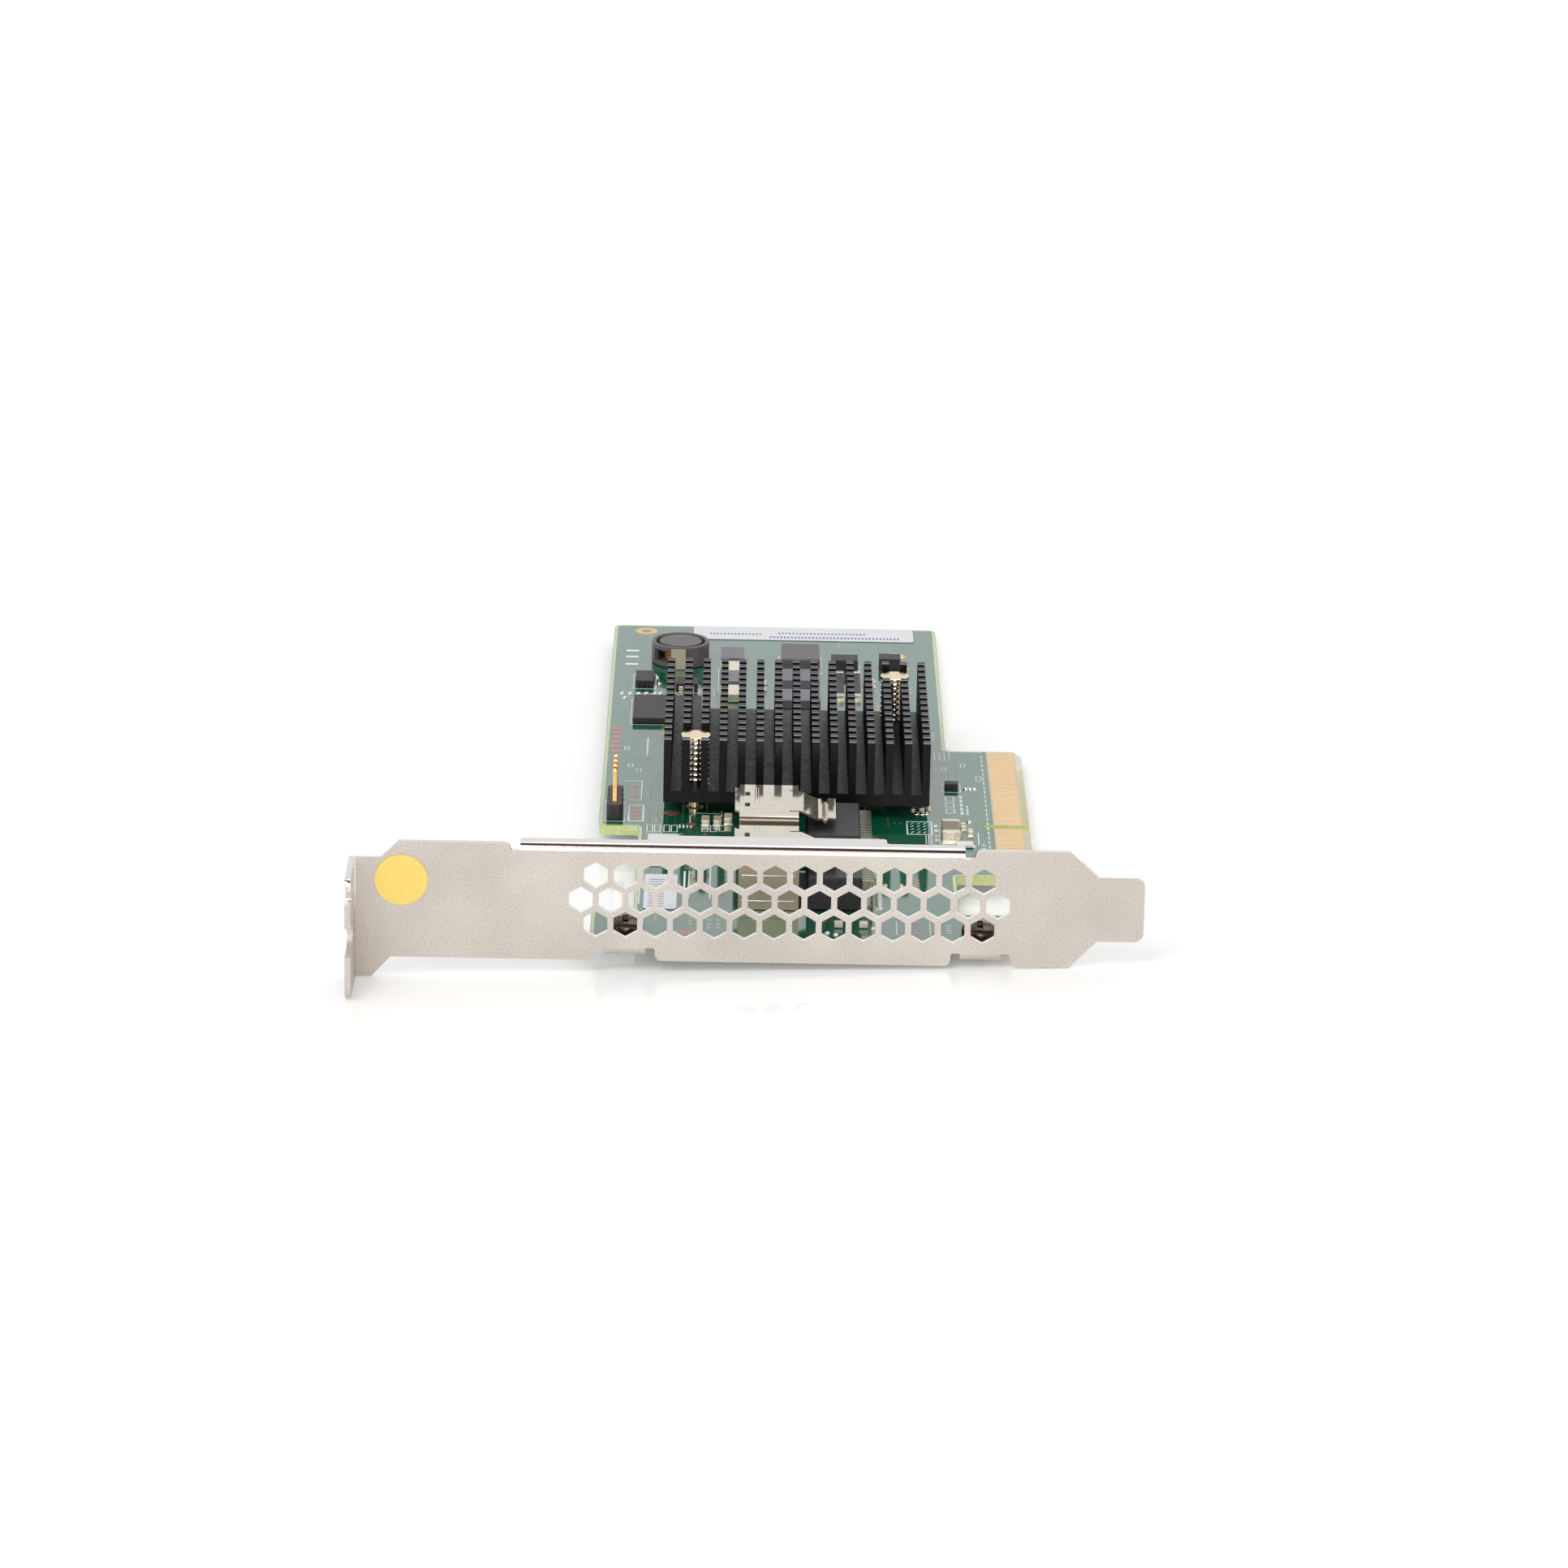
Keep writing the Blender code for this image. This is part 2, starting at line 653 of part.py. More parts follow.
# The upper flange seen from above, from its bend line back: a narrow strip with a deeper shelf
def flange_outline():
    start = BEND_RADIUS + SHEET_MID
    corners = [
        (FLANGE_START, start, 0),
        (FLANGE_END, start, 0),
        (FLANGE_END, FLANGE_REACH, FLANGE_ROUND),
        (SHELF_END, FLANGE_REACH, FLANGE_ROUND),
        (SHELF_END, SHELF_REACH, FLANGE_ROUND),
        (SHELF_START, SHELF_REACH, FLANGE_ROUND),
        (SHELF_START, FLANGE_REACH, FLANGE_ROUND),
        (FLANGE_START, FLANGE_REACH, FLANGE_ROUND),
    ]
    return rounded(corners)


# The mounting tab seen from its end, as (reach towards the front, height)
def mounting_tab_outline():
    start = TAB_BEND_RADIUS - SHEET_MID
    low = -NECK_DROP
    slot = low + SCREW_SLOT_RISE
    notch = NECK_TOP - LOCATING_NOTCH_DROP
    half_slot = SCREW_SLOT_WIDTH / 2
    slot_round = half_slot * END_ROUND_SHARE
    slot_end = TAB_REACH - SCREW_SLOT_DEPTH
    half_notch = LOCATING_NOTCH_WIDTH / 2
    notch_end = TAB_REACH - LOCATING_NOTCH_DEPTH
    corners = [
        (start, low, 0),
        (TAB_REACH, low, TAB_LOW_ROUND),
        (TAB_REACH, slot - half_slot, SCREW_SLOT_MOUTH_ROUND),
        (slot_end, slot - half_slot, slot_round),
        (slot_end, slot + half_slot, slot_round),
        (TAB_REACH, slot + half_slot, SCREW_SLOT_MOUTH_ROUND),
        (TAB_REACH, notch - half_notch, 0),
        (notch_end, notch - half_notch, LOCATING_NOTCH_ROUND),
        (notch_end, notch + half_notch, LOCATING_NOTCH_ROUND),
        (TAB_REACH, notch + half_notch, 0),
        (TAB_REACH, NECK_TOP, TAB_TOP_ROUND),
        (start, NECK_TOP, 0),
    ]
    return rounded(corners)


def make_bracket():
    sheet = FoldedSheet()
    to_face = Matrix(((1, 0, 0, 0), (0, 0, -1, SHEET_MID * MM), (0, 1, 0, 0), (0, 0, 0, 1)))
    sheet.flat([bracket_face_outline(), *grille_hexagons()], to_face)
    flange_z = BODY_WIDTH - SHEET_MID
    centre_y = SHEET_MID + BEND_RADIUS
    sheet.bend((FLANGE_START, SHEET_MID, FLANGE_ROOT_Z), (FLANGE_END, SHEET_MID, FLANGE_ROOT_Z),
               (0, centre_y, FLANGE_ROOT_Z), (1, 0, 0), -QUARTER_TURN)
    sheet.flat([flange_outline()], Matrix.Translation((0, 0, flange_z * MM)))
    for centre in BOARD_TAB_CENTRES:
        left = centre - BOARD_TAB_WIDTH / 2
        right = centre + BOARD_TAB_WIDTH / 2
        sheet.bend((left, SHEET_MID, BOARD_TAB_ROOT_Z), (right, SHEET_MID, BOARD_TAB_ROOT_Z),
                   (0, centre_y, BOARD_TAB_ROOT_Z), (1, 0, 0), QUARTER_TURN)
        tab = rounded([
            (left, centre_y, 0),
            (right, centre_y, 0),
            (right, BOARD_TAB_REACH, BOARD_TAB_ROUND),
            (left, BOARD_TAB_REACH, BOARD_TAB_ROUND),
        ])
        hole = ring(centre, BOARD_SCREW_Y, TAB_HOLE)
        sheet.flat([tab, hole], Matrix.Translation((0, 0, BOARD_TAB_Z * MM)))
    sheet.bend((TAB_ROOT_X, SHEET_MID, -NECK_DROP), (TAB_ROOT_X, SHEET_MID, NECK_TOP),
               (TAB_ROOT_X, SHEET_MID - TAB_BEND_RADIUS, 0), (0, 0, 1), QUARTER_TURN)
    to_tab = Matrix(((0, 0, 1, SHEET_MID * MM), (-1, 0, 0, 0), (0, 1, 0, 0), (0, 0, 0, 1)))
    sheet.flat([mounting_tab_outline()], to_tab)
    return sheet.finish("bracket", place(0, 0, 0), SHEET, plated_steel)


make_bracket()


# Circuit board

def board_outline():
    neck = BOARD_LEFT + LEFT_NOTCH_DEPTH
    key_inner = EDGE_OUT - KEY_DEPTH
    key_near = KEY_Y - KEY_WIDTH / 2
    key_far = KEY_Y + KEY_WIDTH / 2
    key_round = KEY_WIDTH / 2 * END_ROUND_SHARE
    chamfer = EDGE_END_CHAMFER
    corners = [
        (BOARD_LEFT, BOARD_NEAR, NOTCH_ROUND),
        (RIGHT_LOBE_EDGE, BOARD_NEAR, NOTCH_ROUND),
        (RIGHT_LOBE_EDGE, RIGHT_NOTCH_NEAR, NOTCH_ROUND),
        (BOARD_RIGHT, RIGHT_NOTCH_NEAR, NOTCH_ROUND),
        (BOARD_RIGHT, RIGHT_NOTCH_FAR, NOTCH_ROUND),
        (EDGE_SHOULDER, RIGHT_NOTCH_FAR, NOTCH_ROUND),
        (EDGE_SHOULDER, EDGE_NEAR, EDGE_ROUND),
        (EDGE_OUT, EDGE_NEAR, EDGE_ROUND),
        (EDGE_OUT, key_near, 0),
        (key_inner, key_near, key_round),
        (key_inner, key_far, key_round),
        (EDGE_OUT, key_far, 0),
        (EDGE_OUT, EDGE_FAR - chamfer, 0),
        (EDGE_OUT - chamfer, EDGE_FAR, 0),
        (BOARD_RIGHT, EDGE_FAR, NOTCH_ROUND),
        (BOARD_RIGHT, BOARD_FAR, BOARD_ROUND),
        (BOARD_LEFT, BOARD_FAR, BOARD_ROUND),
        (BOARD_LEFT, LEFT_NOTCH_FAR, NOTCH_ROUND),
        (neck, LEFT_NOTCH_FAR, NOTCH_ROUND),
        (neck, LEFT_NOTCH_NEAR, NOTCH_ROUND),
        (BOARD_LEFT, LEFT_NOTCH_NEAR, NOTCH_ROUND),
    ]
    return rounded(corners, step=BOARD_CORNER_STEP)


def push_pin_centres():
    inset_x = PUSH_PIN_INSET * PIN_PITCH_X + PIN_SIDE / 2
    inset_y = PUSH_PIN_INSET * PIN_PITCH_Y + PIN_SIDE / 2
    across = SINK_WIDTH / 2 - inset_x
    along = SINK_DEPTH / 2 - inset_y
    near = (SINK_CENTRE_X - across, SINK_CENTRE_Y - along)
    far = (SINK_CENTRE_X + across, SINK_CENTRE_Y + along)
    return {"near": near, "far": far}


def contact_centres():
    before = [KEY_Y - KEY_TO_CONTACT - number * CONTACT_PITCH for number in range(CONTACTS_BEFORE_KEY)]
    after = [KEY_Y + KEY_TO_CONTACT + number * CONTACT_PITCH for number in range(CONTACTS_AFTER_KEY)]
    return before + after


# Plated contacts on both faces of the tongue, sunk a little into it so that they join
def contact_ridges():
    x = EDGE_OUT - CONTACT_RECESS - CONTACT_LENGTH / 2
    height = CONTACT_THICKNESS + CONTACT_ROOT
    entries = []
    for y in contact_centres():
        for side in (-1, 1):
            z = side * (BOARD_THICKNESS / 2 + CONTACT_THICKNESS - height / 2)
            entries.append(((x, y, z), (CONTACT_LENGTH, CONTACT_WIDTH, height)))
    return entries


# Wedges that take the lead-in bevel off both faces of the tongue's outer edge
def edge_bevels():
    half = BOARD_THICKNESS / 2
    clear = CUTTER_CLEAR
    inner = EDGE_OUT - EDGE_BEVEL_LENGTH
    run = EDGE_BEVEL_LENGTH + clear
    drop = EDGE_BEVEL_DEPTH * run / EDGE_BEVEL_LENGTH
    wedges = bmesh.new()
    for side in (-1, 1):
        profile = [
            (inner, side * half),
            (inner + run, side * (half - drop)),
            (inner + run, side * (half + clear)),
            (inner, side * (half + clear)),
        ]
        corners = [wedges.verts.new((x * MM, (EDGE_NEAR - clear) * MM, z * MM)) for x, z in profile]
        face = wedges.faces.new(corners)
        grown = bmesh.ops.extrude_face_region(wedges, geom=[face])["geom"]
        ends = [item for item in grown if isinstance(item, bmesh.types.BMVert)]
        bmesh.ops.translate(wedges, verts=ends, vec=(0, (EDGE_FAR - EDGE_NEAR + 2 * clear) * MM, 0))
    return mesh_from("edge_bevels", wedges)


def make_board():
    holes = [ring(centre, BOARD_SCREW_Y, BOARD_SCREW_HOLE) for centre in BOARD_TAB_CENTRES]
    holes += [ring(x, y, PUSH_HOLE) for x, y in push_pin_centres().values()]
    middle = (0, 0, BOARD_UNDERSIDE + BOARD_THICKNESS / 2)
    board = slab("circuit_board", [board_outline(), *holes], BOARD_THICKNESS, middle, solder_mask)
    wedges = add_object("edge_bevel_cutters", edge_bevels(), place(*middle), None)
    boolean(board, wedges, "DIFFERENCE")
    ridges = boxes_mesh("edge_contacts", contact_ridges())
    boolean(board, add_object("edge_contacts", ridges, place(*middle), gold), "UNION")
    return board


make_board()


# Pan-head screw down through the board into the bracket's tab
def make_bracket_screw(name, x):
    radius = SCREW_HEAD / 2
    shank = SCREW_SHANK / 2
    crown_rise = SCREW_HEAD_HEIGHT - SCREW_HEAD_RIM
    turns = [math.radians(turn) for turn in (0, 30, 60, 90)]
    profile = [(radius * math.sin(turn), SCREW_HEAD_RIM + crown_rise * math.cos(turn)) for turn in turns]
    profile += [
        (radius, 0.0),
        (shank, 0.0),
        (shank, SCREW_POINT - SCREW_LENGTH),
        (shank - SCREW_POINT, -SCREW_LENGTH),
        (0.0, -SCREW_LENGTH),
    ]
    turned(name, profile, (x, BOARD_SCREW_Y, PART_FOOT), dark_steel, SCREW_FLATS)


for side, x in zip(("left", "right"), BOARD_TAB_CENTRES):
    make_bracket_screw("bracket_screw_" + side, x)


# Heatsink

# The pin positions that remain round the two push pins
def sink_pins():
    first_x = SINK_CENTRE_X - SINK_WIDTH / 2 + PIN_SIDE / 2
    first_y = SINK_CENTRE_Y - SINK_DEPTH / 2 + PIN_SIDE / 2
    for column in range(PIN_COUNT):
        for row in range(PIN_COUNT):
            x = first_x + column * PIN_PITCH_X
            y = first_y + row * PIN_PITCH_Y
            gone = any(abs(x - px) < PIN_PITCH_X and abs(y - py) < PIN_PITCH_Y
                       for px, py in push_pin_centres().values())
            if not gone:
                yield x, y


def make_heatsink():
    left = SINK_CENTRE_X - SINK_WIDTH / 2
    right = SINK_CENTRE_X + SINK_WIDTH / 2
    near = SINK_CENTRE_Y - SINK_DEPTH / 2
    far = SINK_CENTRE_Y + SINK_DEPTH / 2
    outline = [Vector((left, near)), Vector((right, near)), Vector((right, far)), Vector((left, far))]
    holes = [ring(x, y, SINK_PIN_HOLE) for x, y in push_pin_centres().values()]
    base_z = SINK_UNDERSIDE + SINK_BASE / 2
    sink = slab("heatsink", [outline, *holes], SINK_BASE, (0, 0, base_z), anodised)
    height = PIN_HEIGHT + PIN_ROOT
    z = SINK_TOP - height / 2 - base_z
    pins = [((x, y, z), (PIN_SIDE, PIN_SIDE, height)) for x, y in sink_pins()]
    field = add_object("heatsink_pins", boxes_mesh("heatsink_pins", pins), place(0, 0, base_z), anodised)
    boolean(sink, field, "UNION")


make_heatsink()


# Push pin: flat head, hub in the spring, shank through base and board, barb below the board
def make_push_pin(name, x, y):
    board_under = BOARD_UNDERSIDE - PUSH_HEAD_TOP
    head = PUSH_HEAD / 2
    hub = PUSH_HUB / 2
    shank = PUSH_SHANK / 2
    barb = PUSH_BARB / 2
    under_head = -PUSH_HEAD_THICKNESS
    under_hub = under_head - PUSH_HUB_HEIGHT
    barb_top = board_under - SEAT
    barb_low = barb_top - PUSH_BARB_HEIGHT
    profile = [
        (0.0, 0.0),
        (head - PUSH_HEAD_CHAMFER, 0.0),
        (head, -PUSH_HEAD_CHAMFER),
        (head, under_head),
        (hub, under_head),
        (hub, under_hub),
        (shank, under_hub),
        (shank, barb_top),
        (barb, barb_top),
        (barb, barb_top - PUSH_BARB_LAND),
        (PUSH_TIP / 2, barb_low),
        (0.0, barb_low),
    ]
    turned(name, profile, (x, y, PUSH_HEAD_TOP), brass, PUSH_PIN_FLATS)


# Round wire wound as a helix between the pin's head and the heatsink's base: its first and last turns
# rise by the closed pitch, and the open turns between them share the rest of the height
def make_spring(name, x, y):
    wire = SPRING_WIRE / 2
    radius = SPRING_DIAMETER / 2 - wire
    low = SINK_BASE_TOP + SEAT + wire
    high = PUSH_HEAD_TOP - PUSH_HEAD_THICKNESS - SEAT - wire
    open_pitch = (high - low - 2 * SPRING_CLOSED_PITCH) / SPRING_OPEN_TURNS
    turns = SPRING_OPEN_TURNS + 2
    steps = turns * SPRING_POINTS_PER_TURN
    curve = bpy.data.curves.new(name, "CURVE")
    curve.dimensions = "3D"
    curve.bevel_depth = wire * MM
    curve.bevel_resolution = 1
    curve.use_fill_caps = True
    spline = curve.splines.new("POLY")
    spline.points.add(steps)
    for number, point in enumerate(spline.points):
        turn = number / SPRING_POINTS_PER_TURN
        closed = min(turn, 1) + max(turn - turns + 1, 0)
        height = low + closed * SPRING_CLOSED_PITCH + (turn - closed) * open_pitch
        angle = 2 * math.pi * turn
        point.co = (radius * math.cos(angle) * MM, radius * math.sin(angle) * MM, height * MM, 1.0)
    piece = bpy.data.objects.new(name, curve)
    piece.location = place(x, y, 0.0)
    curve.materials.append(spring_steel)
    parts.objects.link(piece)


for end, (x, y) in push_pin_centres().items():
    make_push_pin("push_pin_" + end, x, y)
    make_spring("push_pin_spring_" + end, x, y)


# Controller chip: laminate, metal lid and the pad between lid and heatsink

def make_controller():
    centre = (SINK_CENTRE_X, SINK_CENTRE_Y)
    lid_foot = PART_FOOT + SUBSTRATE_HEIGHT + GLUE
    pad_foot = lid_foot + LID_HEIGHT + GLUE
    pad_height = SINK_UNDERSIDE - GLUE - pad_foot
    box("controller_chip", (SUBSTRATE_SIDE, SUBSTRATE_SIDE, SUBSTRATE_HEIGHT),
        (*centre, PART_FOOT + SUBSTRATE_HEIGHT / 2), laminate, BLOCK_EDGE)
    half = LID_SIDE / 2
    corners = rounded([(-half, -half, LID_ROUND), (half, -half, LID_ROUND), (half, half, LID_ROUND),
                       (-half, half, LID_ROUND)])
    slab("controller_lid", [corners], LID_HEIGHT, (*centre, lid_foot + LID_HEIGHT / 2), tin)
    box("thermal_pad", (PAD_SIDE, PAD_SIDE, pad_height), (*centre, pad_foot + pad_height / 2), thermal)


make_controller()


# Cable ports

# Cage top seen from above about the port's middle line: windows, latch slits and square ends
def cage_top_loops():
    inner = CAGE_BEND + CAGE_SHEET / 2
    half = CAGE_WIDTH / 2 - inner
    latch = LATCH_WIDTH / 2
    right = CAGE_LENGTH
    slit = right - LATCH_SLIT_DEPTH
    lip = LIP_WIDTH / 2
    outline = [
        (0, -half),
        (right, -half),
        (right, -latch - LATCH_SLIT),
        (slit, -latch - LATCH_SLIT),
        (slit, -latch),
        (right, -latch),
        (right, latch),
        (slit, latch),
        (slit, latch + LATCH_SLIT),
        (right, latch + LATCH_SLIT),
        (right, half),
        (0, half),
        (0, lip),
        (0, -lip),
    ]
    windows = []
    left = WINDOW_INSET - WINDOW_WIDTH / 2
    right = WINDOW_INSET + WINDOW_WIDTH / 2
    for offset in WINDOW_OFFSETS:
        near = offset - WINDOW_LENGTH / 2
        far = offset + WINDOW_LENGTH / 2
        windows.append([(left, near), (right, near), (right, far), (left, far)])
    return [outline, *windows]


def make_cage(name, middle_y):
    sheet = FoldedSheet()
    half = CAGE_WIDTH / 2 - CAGE_SHEET / 2
    top = CAGE_HEIGHT - CAGE_SHEET / 2
    bend_y = half - CAGE_BEND
    bend_z = top - CAGE_BEND
    foot = SEAT
    right = CAGE_LENGTH
    latch = LATCH_WIDTH / 2
    lip = LIP_WIDTH / 2
    sheet.flat(cage_top_loops(), Matrix.Translation((0, 0, top * MM)))
    for side in (-1, 1):
        y = side * bend_y
        sheet.bend((0, y, top), (right, y, top), (0, y, bend_z), (1, 0, 0), -QUARTER_TURN * side,
                   CAGE_BEND_STEPS)
        wall = side * half
        sheet.draw((0, wall, bend_z), (right, wall, bend_z), [(0, 0, foot - bend_z)])
    sheet.draw((0, -lip, top), (0, lip, top), [(-LIP_LENGTH, 0, LIP_RISE)])
    sheet.draw((right, -latch, top), (right, latch, top), [(x, 0, z) for x, z in LATCH_PATH])
    sheet.finish(name, place(CAGE_LEFT, middle_y, BOARD_TOP), CAGE_SHEET, tin)


# A lead's side view from the housing's rear face, out, down a slope and along the board
def lead_boxes():
    shape = bmesh.new()
    under = LEAD_RISE - LEAD_THICKNESS
    profile = [
        (-LEAD_ROOT, LEAD_RISE),
        (LEAD_SHOULDER, LEAD_RISE),
        (LEAD_FOOT_START, LEAD_THICKNESS),
        (LEAD_REACH, LEAD_THICKNESS),
        (LEAD_REACH, 0.0),
        (LEAD_FOOT_START - LEAD_SLOPE_INSET, 0.0),
        (LEAD_SHOULDER - LEAD_SLOPE_INSET, under),
        (-LEAD_ROOT, under),
    ]
    for number in range(LEAD_COUNT):
        y = (number - (LEAD_COUNT - 1) / 2) * LEAD_PITCH - LEAD_WIDTH / 2
        face = shape.faces.new([shape.verts.new((x * MM, y * MM, z * MM)) for x, z in profile])
        grown = bmesh.ops.extrude_face_region(shape, geom=[face])["geom"]
        ends = [item for item in grown if isinstance(item, bmesh.types.BMVert)]
        bmesh.ops.translate(shape, verts=ends, vec=(0, LEAD_WIDTH * MM, 0))
    return mesh_from("leads", shape)


# Insulator: rear block with solder leads, a low bridge into the cage, and the contact blade inside
def make_housing(name, middle_y):
    start = CAGE_LENGTH + HOUSING_GAP
    foot = SEAT
    inner_width = CAGE_WIDTH - 2 * (CAGE_SHEET + INSULATOR_GAP)
    bridge_width = inner_width - 2 * INSULATOR_BRIDGE_INSET
    wall_right = CAGE_LENGTH - LATCH_SLIT_DEPTH
    wall_left = wall_right - INSULATOR_WALL
    wall_top = CAGE_HEIGHT - CAGE_SHEET - INSULATOR_WALL_DROP + foot
    blade_low = foot + BLADE_RISE
    blade_top = blade_low + BLADE_THICKNESS
    # left and right ends, width, and lower and upper levels
    solids = {
        "block": (start, start + HOUSING_LENGTH, CAGE_WIDTH, foot, HOUSING_HEIGHT),
        "wall": (wall_left, wall_right, inner_width, foot, wall_top),
        "bridge": (wall_left, start + INSULATOR_OVERLAP, bridge_width, foot, foot + INSULATOR_BRIDGE),
        "blade": (BLADE_SETBACK, wall_left + INSULATOR_OVERLAP, BLADE_WIDTH, blade_low, blade_top),
    }
    at = place(CAGE_LEFT, middle_y, BOARD_TOP)
    body = None
    for label, (left, right, width, low, high) in solids.items():
        entry = (((left + right) / 2, 0, (low + high) / 2), (right - left, width, high - low))
        if body is None:
            body = add_object(name, boxes_mesh(name, [entry]), at, black_plastic)
            bevel(body, HOUSING_ROUND, 1)
        else:
            piece = add_object(name + "_" + label, boxes_mesh(label, [entry]), at, black_plastic)
            boolean(body, piece, "UNION")
    leads_at = place(CAGE_LEFT + start + HOUSING_LENGTH, middle_y, BOARD_TOP + foot)
    leads = add_object(name + "_leads", lead_boxes(), leads_at, tin)
    boolean(body, leads, "UNION")


for end, middle_y in (("near", NEAR_PORT_Y), ("far", FAR_PORT_Y)):
    make_cage("port_cage_" + end, middle_y)
    make_housing("port_housing_" + end, middle_y)


# Pin header: chamfered insulator with square holes, and pointed square pins through them

def header_positions():
    return [(number - (HEADER_PINS - 1) / 2) * HEADER_PITCH for number in range(HEADER_PINS)]


def make_header():
    half = HEADER_WIDTH / 2
    reach = HEADER_PITCH / 2
    cut = HEADER_CHAMFER
    hole = HEADER_PIN_SIDE / 2 + SEAT
    right_side = []
    holes = []
    for y in header_positions():
        near = y - reach
        far = y + reach
        right_side += [(half - cut, near), (half, near + cut), (half, far - cut), (half - cut, far)]
        holes.append([(-hole, y - hole), (hole, y - hole), (hole, y + hole), (-hole, y + hole)])
    left_side = [(-x, y) for x, y in reversed(right_side)]
    outline = [Vector(corner) for corner in right_side + left_side]
    # neighbouring pins' chamfers meet in one corner, which is kept once
    kept = [corner for index, corner in enumerate(outline)
            if (corner - outline[index - 1]).length > WELD_DISTANCE]
    base_z = PART_FOOT + HEADER_HEIGHT / 2
    slab("header_base", [kept, *holes], HEADER_HEIGHT, (HEADER_X, HEADER_Y, base_z), black_plastic)
    for number, y in enumerate(header_positions(), 1):
        name = "header_pin_%d" % number
        shape = bmesh.new()
        side = HEADER_PIN_SIDE
        matrix = Matrix.Diagonal((side * MM, side * MM, HEADER_PIN_TOP * MM, 1.0))
        bmesh.ops.create_cube(shape, size=1.0, matrix=matrix)
        top = max(shape.faces, key=lambda face: face.calc_center_median().z)
        point = bmesh.ops.extrude_face_region(shape, geom=[top])["geom"]
        tip = [item for item in point if isinstance(item, bmesh.types.BMVert)]
        taper = HEADER_PIN_TIP / HEADER_PIN_SIDE
        bmesh.ops.translate(shape, verts=tip, vec=(0, 0, HEADER_PIN_POINT * MM))
        bmesh.ops.scale(shape, verts=tip, vec=(taper, taper, 1.0))
        bmesh.ops.delete(shape, geom=[top], context="FACES_ONLY")
        at = place(HEADER_X, HEADER_Y + y, PART_FOOT + HEADER_PIN_TOP / 2)
        add_object(name, mesh_from(name, shape), at, gold)


make_header()


# Drum inductor: ferrite drum, copper winding, shield ring with a side window, and a soldered strap

def make_inductor():
    outer = DRUM_DIAMETER / 2
    inner = outer - SHIELD_WALL
    drum = inner - SHIELD_GAP
    neck = DRUM_NECK / 2
    top = DRUM_HEIGHT
    lower = DRUM_FLANGE
    upper = top - DRUM_FLANGE
    at = (DRUM_X, DRUM_Y, PART_FOOT)
    ring_profile = [(outer, top), (outer, 0.0), (inner, 0.0), (inner, top)]
    shield = turned("inductor_shield", ring_profile, at, ferrite, SHIELD_FLATS, closed=True)
    window_size = (WINDOW_CUT_WIDTH, DRUM_DIAMETER, upper - lower)
    window_mesh = boxes_mesh("inductor_window", [((0, -outer, (lower + upper) / 2), window_size)])
    window = add_object("inductor_window", window_mesh, place(*at), None)
    window.rotation_euler = (0, 0, math.radians(WINDOW_CUT_ANGLE - 270.0))
    boolean(shield, window, "DIFFERENCE")
    core_profile = [
        (0.0, top),
        (drum, top),
        (drum, upper),
        (neck, upper),
        (neck, lower),
        (drum, lower),
        (drum, 0.0),
        (0.0, 0.0),
    ]
    turned("inductor_core", core_profile, at, ferrite, DRUM_FLATS)
    wound = drum - WINDING_CLEAR
    wound_in = neck + SEAT
    wound_low = lower + SEAT
    wound_top = upper - SEAT
    winding_profile = [(wound, wound_top), (wound, wound_low), (wound_in, wound_low), (wound_in, wound_top)]
    turned("inductor_winding", winding_profile, at, copper, DRUM_FLATS, closed=True)
    strap_y = DRUM_Y - outer - SEAT - STRAP_THICKNESS / 2
    strap_height = DRUM_HEIGHT - STRAP_DROP
    box("inductor_strap", (STRAP_WIDTH, STRAP_THICKNESS, strap_height),
        (DRUM_X - STRAP_OFFSET, strap_y, PART_FOOT + strap_height / 2), ceramic)


make_inductor()


# Gull-wing leads on the near and far sides of a small outline chip: each has a shoulder out of the
# body's side, a drop and a foot
def make_lead_chip(name, size, middle):
    width, depth, height = size
    body = block(name, (width, depth - 2 * CHIP_LEAD_REACH, height), middle, CHIP_EDGE, moulding)
    half_depth = depth / 2
    leads = CHIP_LEAD_COUNTS[name]
    pitch = width / leads
    shoulder = half_depth - CHIP_LEAD_REACH + CHIP_LEAD_SHOULDER
    root = shoulder - CHIP_LEAD_SHOULDER - CHIP_LEAD_ROOT
    drop_in = shoulder - CHIP_LEAD_THICKNESS
    low = height / 2 - CHIP_LEAD_THICKNESS / 2
    high = height / 2 + CHIP_LEAD_THICKNESS / 2
    # inner and outer reach, and lower and upper levels
    runs = {
        "shoulders": (root, shoulder, low, high),
        "drops": (drop_in, shoulder, 0.0, high),
        "feet": (drop_in, half_depth, 0.0, CHIP_LEAD_THICKNESS),
    }
    foot = place(*middle, PART_FOOT)
    for label, (inner, outer, bottom, top) in runs.items():
        entries = []
        for number in range(leads):
            x = (number - (leads - 1) / 2) * pitch
            for side in (-1, 1):
                centre = (x, side * (inner + outer) / 2, (bottom + top) / 2)
                entries.append((centre, (CHIP_LEAD_WIDTHS[name], outer - inner, top - bottom)))
        boolean(body, add_object(name + "_" + label, boxes_mesh(label, entries), foot, tin), "UNION")


def make_blocks():
    finishes = {"polymer_capacitor": moulding, "tank_capacitor_far": ferrite, "power_choke_far": ferrite}
    kinds = {"capacitor": ceramic, "led": white_paper, "jumper": white_paper}
    for name, (size, middle) in BLOCKS.items():
        kind = next((material for word, material in kinds.items() if word in name), moulding)
        edge = CHOKE_EDGE if name == "power_choke_far" else BLOCK_EDGE
        block(name, size, middle, edge, finishes.get(name, kind))
    for name, (size, middle) in LEAD_CHIPS.items():
        make_lead_chip(name, size, middle)


